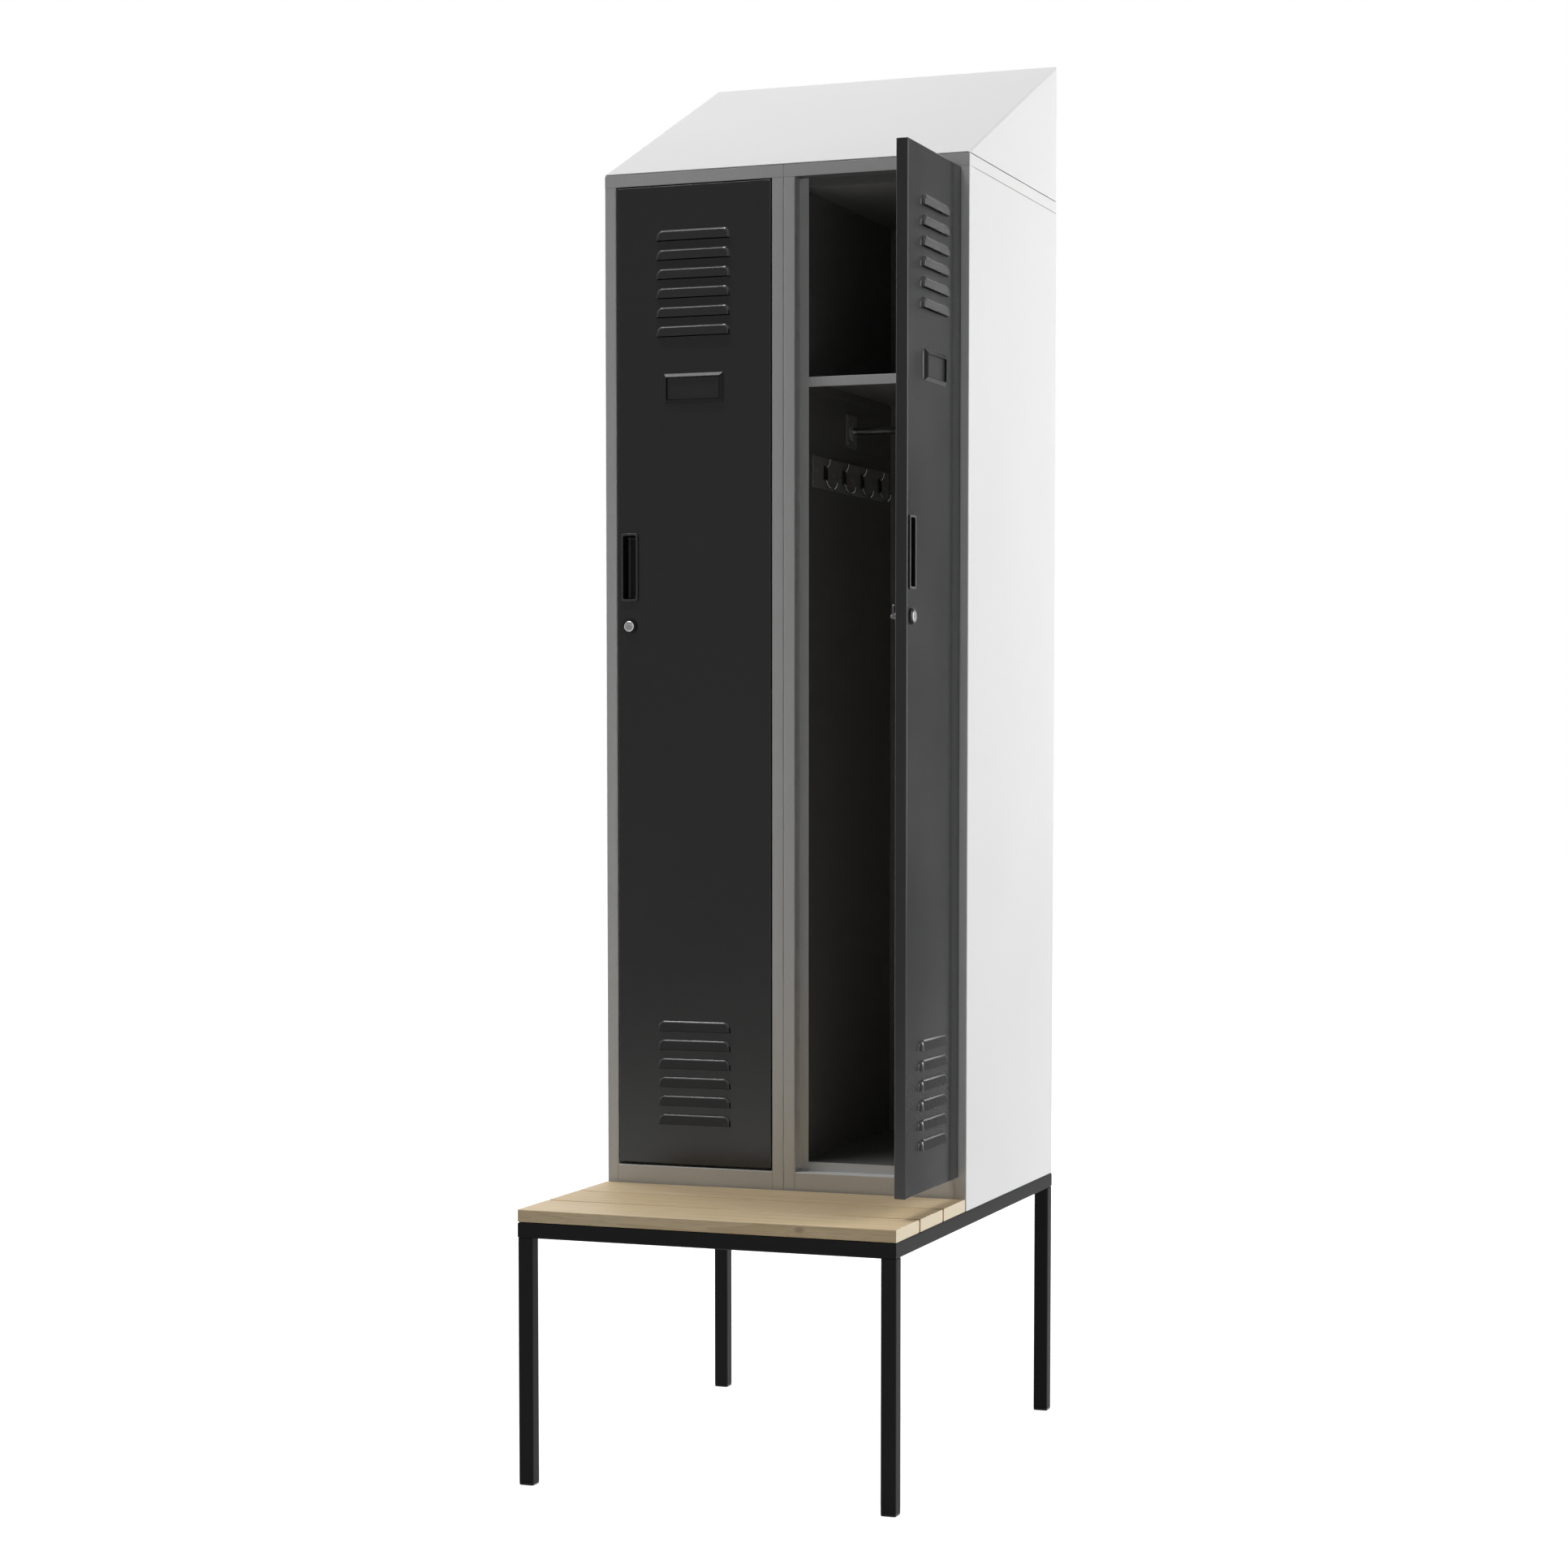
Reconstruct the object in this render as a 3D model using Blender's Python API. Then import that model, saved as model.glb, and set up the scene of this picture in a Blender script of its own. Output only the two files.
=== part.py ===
"""Sheet-steel locker with two compartments, a sloping roof and a wooden bench in front.

The cabinet stands on an underframe of square tube, whose front half carries three slats.
Both doors hang on hinge rods at their right side. The left door is closed and the right
one stands open at a right angle. Units are metres, +Z is up, the front faces -Y, and the
origin is on the floor at the centre of the footprint.
"""

import math

import bmesh
import bpy
from mathutils import Matrix, Vector

# Overall sizes
WIDTH = 0.630
CABINET_DEPTH = 0.510
BENCH_DEPTH = 0.358
CABINET_HEIGHT = 1.690
FRAME_HEIGHT = 0.420
ROOF_RISE = 0.232
RIGHT_DOOR_ANGLE = math.radians(90)

# Clearances and stock
SEAT = 0.0003
OVERRUN = 0.004
SHEET = 0.001
BEND_RADIUS = 0.002
BEND_STEPS = 2

# Underframe
TUBE = 0.025
TUBE_WALL = 0.0015
TUBE_CORNER = 0.003
TUBE_CORNER_STEPS = 2
PLUG_FLANGE = 0.004
PLUG_SPIGOT = 0.015
PLUG_BEVEL = 0.0015

# Bench slats
SLAT_COUNT = 3
SLAT_THICKNESS = 0.020
SLAT_GAP = 0.0065
SLAT_EDGE = 0.002

# Cabinet shell
STILE_WIDTH = 0.020
STOP_DEPTH = 0.024
STOP_LIP = 0.015
REAR_FLANGE = 0.018
CAP_HEIGHT = 0.020
BOTTOM_RAIL_HEIGHT = 0.050
BOTTOM_FLANGE = 0.020
BACK_RECESS = 0.020
ROOF_FRONT_EDGE = 0.0015
ROOF_FOLD = 0.004
ROOF_FOLD_STEPS = 3

# Compartment fittings
TRAY_FLANGE = 0.014
SHELF_TOP_HEIGHT = 1.350
SHELF_FLANGE = 0.016
SHELF_EDGE_RADIUS = 0.0015
FITTINGS_DEPTH = 0.275
RAIL_HEIGHT = 1.284
RAIL_DIAMETER = 0.012
RAIL_WALL = 0.001
RAIL_SIDES = 16
PLATE_WIDTH = 0.050
PLATE_HEIGHT = 0.055
PLATE_THICKNESS = 0.002
BOSS_DIAMETER = 0.031
BOSS_THICKNESS = 0.0045
SEAT_DEPTH = 0.0035
STRIP_LENGTH = 0.390
STRIP_HEIGHT = 0.052
STRIP_THICKNESS = 0.003
STRIP_CENTRE_HEIGHT = 1.203
STRIP_EDGE = 0.001
HOOK_COUNT = 4
HOOK_PITCH = 0.0935
HOOK_PLATE_WIDTH = 0.012
HOOK_PLATE_HEIGHT = 0.024
HOOK_PLATE_THICKNESS = 0.0035
HOOK_ROD = 0.0034
HOOK_TIP = 0.0046
HOOK_SIDES = 6
HOOK_STEPS = 4
COAT_PRONG_REACH = 0.0185
COAT_PRONG_DIP = 0.0120
COAT_PRONG_DROP = 0.016
COAT_PRONG_RISE = 0.009
HAT_PRONG_REACH = 0.006
HAT_PRONG_RISE = 0.011

# Doors
DOOR_THICKNESS = 0.019
DOOR_SIDE_GAP = 0.002
DOOR_TOP_GAP = 0.002
DOOR_BOTTOM_GAP = 0.004
DOOR_FLANGE = 0.010
DOOR_EDGE = 0.001
STIFFENER_WIDTH = 0.040
STIFFENER_FOOT = 0.010
STIFFENER_DEPTH = 0.014
STIFFENER_INSET = 0.018
STIFFENER_END_GAP = 0.030

# Louvers pressed out of the door skin
LOUVRE_COUNT = 6
LOUVRE_PITCH = 0.0312
LOUVRE_BASE_WIDTH = 0.130
LOUVRE_CREST_WIDTH = 0.126
LOUVRE_HEIGHT = 0.0165
LOUVRE_CORNER = 0.0105
LOUVRE_CORNER_STEPS = 4
LOUVRE_DEPTH = 0.005
LOUVRE_FALL = 0.0018
LOUVRE_SHOULDER = 0.0028
LOUVRE_SLOT_DROP = 0.001
UPPER_LOUVRE_SETBACK = 0.0725
LOWER_LOUVRE_SETBACK = 0.067

# Handle cup
HANDLE_WIDTH = 0.030
HANDLE_HEIGHT = 0.112
HANDLE_CENTRE_IN = 0.0235
HANDLE_CENTRE_HEIGHT = 1.046
HANDLE_RIM = 0.0035
HANDLE_PROUD = 0.003
HANDLE_CUP_DEPTH = 0.016
HANDLE_CUP_WALL = 0.0015
HANDLE_CORNER = 0.003
HANDLE_CUP_ROUND = 0.006

# Label holder
LABEL_WIDTH = 0.106
LABEL_HEIGHT = 0.049
LABEL_RIM = 0.0008
LABEL_PROUD = 0.0045
LABEL_SLOPE = 0.006
LABEL_LAND = 0.001
LABEL_POCKET = 0.003
LABEL_CENTRE_HEIGHT = 1.337

# Lock
LOCK_HEIGHT = 0.9485
BEZEL_DIAMETER = 0.025
BEZEL_PROUD = 0.004
HOUSING_DIAMETER = 0.020
HOUSING_REACH = 0.003
BARREL_DIAMETER = 0.016
BARREL_PROUD = 0.002
BARREL_CHAMFER = 0.0012
BARREL_SHANK_DIAMETER = 0.012
LOCK_SIDES = 24
CAM_THICKNESS = 0.003
CAM_CLEARANCE = 0.0013
CAM_WIDTH = 0.010
CAM_LENGTH = 0.018
KEYWAY_WIDTH = 0.0014
KEYWAY_HEIGHT = 0.007
KEYWAY_DEPTH = 0.003

# Hinges
ROD_DIAMETER = 0.003
ROD_SIDES = 12
PIVOT_OUT = 0.0045
PIVOT_DEPTH = 0.004
EYE_DIAMETER = 0.0048
EYE_SIDES = 12
ARM_THICKNESS = 0.0015
ARM_HEIGHT = 0.030
ARM_REACH = 0.0065
ARM_COUNT = 3
ARM_END_INSET = 0.150
SLOT_MARGIN = 0.0015

# Colours as linear RGB, with roughness and metallic values
FINISHES = {
    "light_paint": ((0.72, 0.73, 0.73), 0.45, 0.0),
    "dark_paint": ((0.030, 0.030, 0.031), 0.50, 0.0),
    "door_paint": ((0.040, 0.041, 0.042), 0.40, 0.0),
    "frame_paint": ((0.022, 0.022, 0.023), 0.42, 0.0),
    "oak": ((0.58, 0.43, 0.25), 0.55, 0.0),
    "chrome": ((0.80, 0.80, 0.82), 0.12, 1.0),
    "black_plastic": ((0.012, 0.012, 0.013), 0.45, 0.0),
    "lock_steel": ((0.62, 0.62, 0.63), 0.25, 1.0),
    "hinge_steel": ((0.50, 0.50, 0.51), 0.35, 1.0),
}

# Places that follow from the sizes
FRONT = -(BENCH_DEPTH + CABINET_DEPTH) / 2
REAR = -FRONT
CABINET_FRONT = FRONT + BENCH_DEPTH
BASE = FRAME_HEIGHT + SEAT
MODULE = (WIDTH - SEAT) / 2
SHELL_TOP = CABINET_HEIGHT - SEAT
CAP_BOTTOM = SHELL_TOP - CAP_HEIGHT
PANEL_TOP = CAP_BOTTOM - SEAT
OPENING_RIGHT = MODULE - STILE_WIDTH
LINING_FRONT = STOP_DEPTH + SHEET + SEAT
BACK_FACE = CABINET_DEPTH - BACK_RECESS - SHEET
LINING_REAR = BACK_FACE - SEAT
FLOOR_TOP = BOTTOM_RAIL_HEIGHT + STOP_LIP
CEILING = CAP_BOTTOM - STOP_LIP
DOOR_LEFT = STILE_WIDTH + DOOR_SIDE_GAP
DOOR_RIGHT = OPENING_RIGHT - DOOR_SIDE_GAP
DOOR_BOTTOM = BOTTOM_RAIL_HEIGHT + DOOR_BOTTOM_GAP
DOOR_TOP = CAP_BOTTOM - DOOR_TOP_GAP
DOOR_CENTRE = (DOOR_LEFT + DOOR_RIGHT) / 2
HANDLE_CENTRE = STILE_WIDTH + HANDLE_CENTRE_IN
PIVOT_U = DOOR_RIGHT + PIVOT_OUT


def material(name):
    """A plain Principled material in one of the finishes."""
    found = bpy.data.materials.get(name)
    if found:
        return found
    colour, roughness, metallic = FINISHES[name]
    made = bpy.data.materials.new(name)
    made.use_nodes = True
    shader = made.node_tree.nodes["Principled BSDF"]
    shader.inputs["Base Color"].default_value = (*colour, 1.0)
    shader.inputs["Roughness"].default_value = roughness
    shader.inputs["Metallic"].default_value = metallic
    return made


def mesh_from(bm, smooth_angle=None):
    """Turns a bmesh into a mesh with its faces pointing out."""
    bmesh.ops.recalc_face_normals(bm, faces=bm.faces)
    mesh = bpy.data.meshes.new("solid")
    bm.to_mesh(mesh)
    bm.free()
    if smooth_angle is not None:
        mesh.shade_smooth()
        mesh.set_sharp_from_angle(angle=math.radians(smooth_angle))
    return mesh


def block(low, high, bevel=0.0, steps=1, edges=None):
    """A box between two corners, with all its edges or the chosen ones bevelled."""
    low, high = Vector(low), Vector(high)
    bm = bmesh.new()
    bmesh.ops.create_cube(bm, size=1.0)
    bmesh.ops.scale(bm, vec=high - low, verts=bm.verts)
    bmesh.ops.translate(bm, vec=(low + high) / 2, verts=bm.verts)
    if bevel > 0:
        chosen = [edge for edge in bm.edges if edges is None or edges(edge)]
        bmesh.ops.bevel(bm, geom=chosen, offset=bevel, offset_type="OFFSET", segments=steps,
                        profile=0.5, affect="EDGES", material=-1)
    return mesh_from(bm)


def prism(outline, axis, low, high):
    """Extrudes a closed outline along one axis: the outline's two numbers are the other two axes."""
    order = {"x": (2, 0, 1), "y": (0, 2, 1), "z": (0, 1, 2)}[axis]
    bm = bmesh.new()
    verts = [bm.verts.new([(*point, low)[i] for i in order]) for point in outline]
    face = bm.faces.new(verts)
    grown = bmesh.ops.extrude_face_region(bm, geom=[face])["geom"]
    moved = [item for item in grown if isinstance(item, bmesh.types.BMVert)]
    step = [0.0, 0.0, 0.0]
    step["xyz".index(axis)] = high - low
    bmesh.ops.translate(bm, vec=step, verts=moved)
    return mesh_from(bm)


def disc(axis, centre, diameter, low, high, sides):
    """A cylinder along one axis, centred on the two other coordinates."""
    turns = [2 * math.pi * (i + 0.5) / sides for i in range(sides)]
    radius = diameter / 2
    ring = [(centre[0] + radius * math.cos(a), centre[1] + radius * math.sin(a)) for a in turns]
    return prism(ring, axis, low, high)


def arc(centre, radius, start, end, steps):
    """Points along an arc, both ends included."""
    angles = [start + (end - start) * i / steps for i in range(steps + 1)]
    return [(centre[0] + radius * math.cos(a), centre[1] + radius * math.sin(a)) for a in angles]


def folded(path, side, thickness=SHEET, radius=BEND_RADIUS, steps=BEND_STEPS):
    """Outline of a folded sheet: path is its visible face, and side says where the thickness goes."""
    points = [Vector(point) for point in path]
    heads = [(b - a).normalized() for a, b in zip(points, points[1:])]
    normals = [Vector((-head.y, head.x)) * side for head in heads]
    seen = [points[0]]
    hidden = [points[0] + normals[0] * thickness]
    for i in range(1, len(points) - 1):
        before, after = heads[i - 1], heads[i]
        turn = before.cross(after)
        towards = turn * side > 0
        seen_radius = radius if towards else radius - thickness
        hidden_radius = radius - thickness if towards else radius
        sweep = before.angle(after)
        away = math.copysign(1.0, turn)
        setback = seen_radius * math.tan(sweep / 2)
        centre = points[i] - before * setback + Vector((-before.y, before.x)) * away * seen_radius
        start = math.atan2(*reversed(points[i] - before * setback - centre))
        bend = (start, start + away * sweep)
        seen += [Vector(p) for p in arc(centre, seen_radius, *bend, steps)]
        hidden += [Vector(p) for p in arc(centre, hidden_radius, *bend, steps)]
    seen.append(points[-1])
    hidden.append(points[-1] + normals[-1] * thickness)
    return [tuple(point) for point in seen + hidden[::-1]]


def rounded(half_width, half_height, radius, steps, centre=(0.0, 0.0)):
    """Outline of a rectangle with round corners."""
    quarter = math.pi / 2
    points = []
    for i, (sx, sy) in enumerate(((1, 1), (-1, 1), (-1, -1), (1, -1))):
        middle = (centre[0] + sx * (half_width - radius), centre[1] + sy * (half_height - radius))
        points += arc(middle, radius, quarter * i, quarter * (i + 1), steps)
    return points


def temporary(mesh):
    """Puts a mesh into the scene as a tool for a Boolean."""
    tool = bpy.data.objects.new("tool", mesh)
    bpy.context.scene.collection.objects.link(tool)
    return tool


def combine(base, tools, operation):
    """Joins meshes to a base mesh or cuts them from it, one after another."""
    target = temporary(base)
    for mesh in tools:
        tool = temporary(mesh)
        change = target.modifiers.new("change", "BOOLEAN")
        change.operation = operation
        change.solver = "EXACT"
        change.object = tool
        graph = bpy.context.evaluated_depsgraph_get()
        result = bpy.data.meshes.new_from_object(target.evaluated_get(graph))
        target.modifiers.clear()
        target.data = result
        bpy.data.objects.remove(tool)
    result = target.data
    bpy.data.objects.remove(target)
    return result


def fused(base, *tools):
    return combine(base, tools, "UNION")


def cut(base, *tools):
    return combine(base, tools, "DIFFERENCE")


def gathered(meshes):
    """Puts several meshes that don't touch into one, to serve as one Boolean tool."""
    bm = bmesh.new()
    for mesh in meshes:
        bm.from_mesh(mesh)
    return mesh_from(bm)


def mirrored(mesh, width):
    """The same shape mirrored across the middle of a width."""
    bm = bmesh.new()
    bm.from_mesh(mesh)
    bmesh.ops.scale(bm, vec=(-1, 1, 1), verts=bm.verts)
    bmesh.ops.translate(bm, vec=(width, 0, 0), verts=bm.verts)
    return mesh_from(bm)


def tray(low, high, opening, bevel=0.0):
    """A box of sheet with one side open, such as "-z" for an open underside."""
    low, high = Vector(low), Vector(high)
    shell = block(low, high, bevel, BEND_STEPS)
    inner_low = low + Vector((SHEET, SHEET, SHEET))
    inner_high = high - Vector((SHEET, SHEET, SHEET))
    axis = "xyz".index(opening[1])
    if opening[0] == "-":
        inner_low[axis] = low[axis] - OVERRUN
    else:
        inner_high[axis] = high[axis] + OVERRUN
    return cut(shell, block(inner_low, inner_high))


def place(name, mesh, finish, location=(0, 0, 0), parent=None, smooth=None):
    """Adds a named sub-part with its material."""
    obj = bpy.data.objects.new(name, mesh)
    obj.location = location
    obj.parent = parent
    if not mesh.materials:
        mesh.materials.append(material(finish))
    if smooth is not None:
        mesh.shade_smooth()
        mesh.set_sharp_from_angle(angle=math.radians(smooth))
    bpy.context.scene.collection.objects.link(obj)
    return obj


def square_tube(length, mitre=0):
    """Hollow square tube along X from 0 to length. A mitre of 1 shortens its +Y side at both ends."""
    half = TUBE / 2
    outer = rounded(half, half, TUBE_CORNER, TUBE_CORNER_STEPS)
    inside = half - TUBE_WALL
    inner = rounded(inside, inside, TUBE_CORNER - TUBE_WALL, TUBE_CORNER_STEPS)
    bm = bmesh.new()
    loops = []
    for outline in (outer, inner):
        for end in (0, 1):
            loop = []
            for y, z in outline:
                slant = (y + half) * mitre
                x = length - slant if end else slant
                loop.append(bm.verts.new((x, y, z)))
            loops.append(loop)
    count = len(outer)
    for a, b in ((0, 1), (3, 2), (2, 0), (1, 3)):
        for i in range(count):
            j = (i + 1) % count
            bm.faces.new((loops[a][i], loops[a][j], loops[b][j], loops[b][i]))
    return mesh_from(bm, 40)


def build_underframe():
    """Rails mitred at the corners, a cross rail, legs and their foot plugs."""
    depth = REAR - FRONT
    half = TUBE / 2
    rail_height = FRAME_HEIGHT - half
    seam = SEAT / 2
    long_rail = square_tube(WIDTH - 2 * seam, 1)
    side_rail = square_tube(depth - 2 * seam, 1)
    front = place("front_rail", long_rail, "frame_paint")
    front.location = (-WIDTH / 2 + seam, FRONT + half, rail_height)
    rear = place("rear_rail", long_rail, "frame_paint")
    rear.location = (WIDTH / 2 - seam, REAR - half, rail_height)
    rear.rotation_euler.z = math.pi
    left = place("left_rail", side_rail, "frame_paint")
    left.location = (-WIDTH / 2 + half, REAR - seam, rail_height)
    left.rotation_euler.z = -math.pi / 2
    right = place("right_rail", side_rail, "frame_paint")
    right.location = (WIDTH / 2 - half, FRONT + seam, rail_height)
    right.rotation_euler.z = math.pi / 2
    cross_length = WIDTH - 2 * (TUBE + SEAT)
    place("cross_rail", square_tube(cross_length), "frame_paint",
          (-cross_length / 2, CABINET_FRONT + half, rail_height))

    leg_bottom = PLUG_FLANGE + SEAT
    leg_length = FRAME_HEIGHT - TUBE - SEAT - leg_bottom
    leg_mesh = square_tube(leg_length)
    plug_mesh = foot_plug()
    for name, x, y in (
        ("front_left", -WIDTH / 2 + half, FRONT + half),
        ("front_right", WIDTH / 2 - half, FRONT + half),
        ("rear_left", -WIDTH / 2 + half, REAR - half),
        ("rear_right", WIDTH / 2 - half, REAR - half),
    ):
        leg = place(name + "_leg", leg_mesh, "frame_paint", (x, y, leg_bottom))
        leg.rotation_euler.y = -math.pi / 2
        place(name + "_foot", plug_mesh, "black_plastic", (x, y, 0))


def foot_plug():
    """Plastic plug: a flange the size of the tube and a spigot inside it."""
    half = TUBE / 2
    spigot = half - TUBE_WALL - SEAT
    corner = TUBE_CORNER - TUBE_WALL
    flange = prism(rounded(half, half, TUBE_CORNER, TUBE_CORNER_STEPS), "z", 0, PLUG_FLANGE)
    stem = prism(rounded(spigot, spigot, corner, TUBE_CORNER_STEPS), "z",
                 PLUG_FLANGE / 2, PLUG_FLANGE + PLUG_SPIGOT)
    return fused(flange, stem)


def build_slats():
    """Wooden slats from one side rail to the other, the last one close to the cabinet."""
    width = (BENCH_DEPTH - SLAT_COUNT * SLAT_GAP) / SLAT_COUNT
    bottom = FRAME_HEIGHT + SEAT
    plank = block((-WIDTH / 2, 0, 0), (WIDTH / 2, width, SLAT_THICKNESS), SLAT_EDGE, 2)
    names = ("front", "middle", "rear")
    for i in range(SLAT_COUNT):
        name = names[i] if i < len(names) else "extra_%d" % i
        place(name + "_slat", plank, "oak", (0, FRONT + i * (width + SLAT_GAP), bottom))


def side_panel():
    """Left wall of a module: one sheet folded to a rear flange, front stile and door stop."""
    path = ((REAR_FLANGE, CABINET_DEPTH), (0, CABINET_DEPTH), (0, 0), (STILE_WIDTH, 0),
            (STILE_WIDTH, STOP_DEPTH), (STILE_WIDTH + STOP_LIP, STOP_DEPTH))
    return prism(folded(path, 1), "z", 0, PANEL_TOP)


def hinge_heights():
    """Middle heights of the hinge arms, spread evenly between the door's ends."""
    low = DOOR_BOTTOM + ARM_END_INSET
    high = DOOR_TOP - ARM_END_INSET
    return [low + (high - low) * i / (ARM_COUNT - 1) for i in range(ARM_COUNT)]


def hinge_side_panel(plain):
    """Right wall of a module: the same sheet mirrored, with slots for the hinge arms."""
    reach = ARM_HEIGHT / 2 + SLOT_MARGIN
    slot_front = PIVOT_DEPTH - EYE_DIAMETER / 2 - SEAT
    slot_rear = PIVOT_DEPTH + ARM_REACH + ARM_THICKNESS + SLOT_MARGIN
    slots = [block((OPENING_RIGHT - BEND_RADIUS, slot_front, middle - reach),
                   (OPENING_RIGHT + BEND_RADIUS, slot_rear, middle + reach))
             for middle in hinge_heights()]
    return cut(mirrored(plain, MODULE), gathered(slots))


def top_cap():
    """Shallow tray with its return and door stop folded in behind the front strip."""
    shell = tray((0, 0, CAP_BOTTOM), (MODULE, CABINET_DEPTH, SHELL_TOP), "-z", BEND_RADIUS / 2)
    sunk = SHEET / 2
    back = block((sunk, sunk, CAP_BOTTOM),
                 (MODULE - sunk, STOP_DEPTH + SHEET, CAP_BOTTOM + SHEET))
    lip_side = STILE_WIDTH + STOP_LIP + SEAT
    lip = block((lip_side, STOP_DEPTH, CEILING), (MODULE - lip_side, STOP_DEPTH + SHEET, CAP_BOTTOM + sunk))
    return fused(shell, back, lip)


def bottom_rail():
    """Folded rail below the door opening, with the door stop standing on its return."""
    left = STILE_WIDTH + SEAT
    path = ((BOTTOM_FLANGE, 0), (0, 0), (0, BOTTOM_RAIL_HEIGHT), (STOP_DEPTH + SHEET, BOTTOM_RAIL_HEIGHT))
    rail = prism(folded(path, -1), "x", left, MODULE - left)
    lip_side = left + STOP_LIP
    notch = block((left - OVERRUN, STOP_DEPTH - SEAT, BOTTOM_RAIL_HEIGHT - OVERRUN),
                  (lip_side, STOP_DEPTH + OVERRUN, BOTTOM_RAIL_HEIGHT + OVERRUN))
    rail = cut(rail, gathered([notch, mirrored(notch, MODULE)]))
    lip = block((lip_side, STOP_DEPTH, BOTTOM_RAIL_HEIGHT - SHEET / 2),
                (MODULE - lip_side, STOP_DEPTH + SHEET, FLOOR_TOP))
    return fused(rail, lip)


def lining_wall():
    """Dark inner wall, flush with the stile's return."""
    low = (STILE_WIDTH - SHEET, LINING_FRONT, SEAT)
    return block(low, (STILE_WIDTH, LINING_REAR, PANEL_TOP))


def inner_tray(bottom, top, opening):
    """Floor, ceiling or shelf between the lining walls."""
    side = STILE_WIDTH + SEAT
    return tray((side, LINING_FRONT, bottom), (MODULE - side, LINING_REAR, top), opening, BEND_RADIUS / 2)


def shelf():
    """Shelf whose front edge lies flush with the door stops, between them."""
    side = STILE_WIDTH + SEAT
    shelf_bottom = SHELF_TOP_HEIGHT - SHELF_FLANGE
    plate = tray((side, LINING_FRONT, shelf_bottom), (MODULE - side, LINING_REAR, SHELF_TOP_HEIGHT), "-z")
    nose_side = side + STOP_LIP
    nose = block((nose_side, STOP_DEPTH, shelf_bottom),
                 (MODULE - nose_side, LINING_FRONT + SHEET / 2, SHELF_TOP_HEIGHT))
    return fused(plate, nose)


def back_panel():
    """Rear wall, set in behind the side panels' rear flanges."""
    side = SHEET + SEAT
    return tray((side, BACK_FACE, SEAT), (MODULE - side, CABINET_DEPTH - SHEET - SEAT, PANEL_TOP), "+y",
                BEND_RADIUS / 2)


def roof_wedge(inset):
    """Solid wedge under the roof's sheet, drawn in by an inset and longer below than the roof."""
    slope = math.atan2(ROOF_RISE - ROOF_FRONT_EDGE, CABINET_DEPTH)
    front, rear = inset, CABINET_DEPTH - inset
    bottom = CABINET_HEIGHT - 2 * ROOF_FOLD - inset
    edge = CABINET_HEIGHT + ROOF_FRONT_EDGE - inset / math.cos(slope)
    outline = ((front, bottom), (rear, bottom), (rear, edge + rear * math.tan(slope)),
               (front, edge + front * math.tan(slope)))
    side = WIDTH / 2 - inset
    bm = bmesh.new()
    bm.from_mesh(prism(outline, "x", -side, side))
    folds = [e for e in bm.edges if max(v.co.z for v in e.verts) > CABINET_HEIGHT
             and max(v.co.y for v in e.verts) > front + ROOF_FOLD]
    bmesh.ops.bevel(bm, geom=folds, offset=ROOF_FOLD - inset, offset_type="OFFSET",
                    segments=ROOF_FOLD_STEPS, profile=0.5, affect="EDGES", material=-1)
    return mesh_from(bm)


def roof():
    """Sloping sheet with a triangular gusset at each end, open underneath."""
    below = block((-WIDTH, -CABINET_DEPTH, CABINET_HEIGHT - 4 * ROOF_FOLD),
                  (WIDTH, 2 * CABINET_DEPTH, CABINET_HEIGHT))
    return cut(roof_wedge(0), below, roof_wedge(SHEET))


def clothes_rail():
    """Round tube across the compartment, from the seat in one bracket to the other's."""
    start = STILE_WIDTH + PLATE_THICKNESS + BOSS_THICKNESS - SEAT_DEPTH + 2 * SEAT
    outer = disc("x", (FITTINGS_DEPTH, RAIL_HEIGHT), RAIL_DIAMETER, start, MODULE - start, RAIL_SIDES)
    bore = disc("x", (FITTINGS_DEPTH, RAIL_HEIGHT), RAIL_DIAMETER - 2 * RAIL_WALL,
                start - OVERRUN, MODULE - start + OVERRUN, RAIL_SIDES)
    return cut(outer, bore)


def rail_bracket():
    """Plate and round boss, with a seat for the rail's end that is open at the top."""
    wall = STILE_WIDTH + SEAT
    centre = (FITTINGS_DEPTH, RAIL_HEIGHT)
    plate_front = wall + PLATE_THICKNESS
    boss_front = plate_front + BOSS_THICKNESS
    half_plate = rounded(PLATE_WIDTH / 2, PLATE_HEIGHT / 2, PLATE_THICKNESS, 2, centre)
    plate = prism(half_plate, "x", wall, plate_front)
    boss = disc("x", centre, BOSS_DIAMETER, wall + PLATE_THICKNESS / 2, boss_front, LOCK_SIDES)
    seat_back = boss_front - SEAT_DEPTH
    bore_size = RAIL_DIAMETER + 2 * SEAT
    seat = disc("x", centre, bore_size, seat_back, boss_front + OVERRUN, RAIL_SIDES)
    mouth = block((seat_back, centre[0] - bore_size / 2, centre[1]),
                  (boss_front + OVERRUN, centre[0] + bore_size / 2, centre[1] + BOSS_DIAMETER))
    return cut(fused(plate, boss), fused(seat, mouth))


def swept_rod(path, radii):
    """A rod with closed ends along points in the X-Z plane, with a radius at each point."""
    bm = bmesh.new()
    rings = []
    across = Vector((0, 1, 0))
    last = len(path) - 1
    for i, point in enumerate(path):
        ahead = (path[min(i + 1, last)] - path[max(i - 1, 0)]).normalized()
        side = ahead.cross(across)
        ring = []
        for k in range(HOOK_SIDES):
            turn = 2 * math.pi * k / HOOK_SIDES
            offset = across * math.cos(turn) + side * math.sin(turn)
            ring.append(bm.verts.new(point + offset * radii[i]))
        rings.append(ring)
    for a, b in zip(rings, rings[1:]):
        bmesh.ops.bridge_loops(bm, edges=ring_edges(bm, a) + ring_edges(bm, b))
    bm.faces.new(rings[0])
    bm.faces.new(rings[-1])
    return mesh_from(bm)


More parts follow.
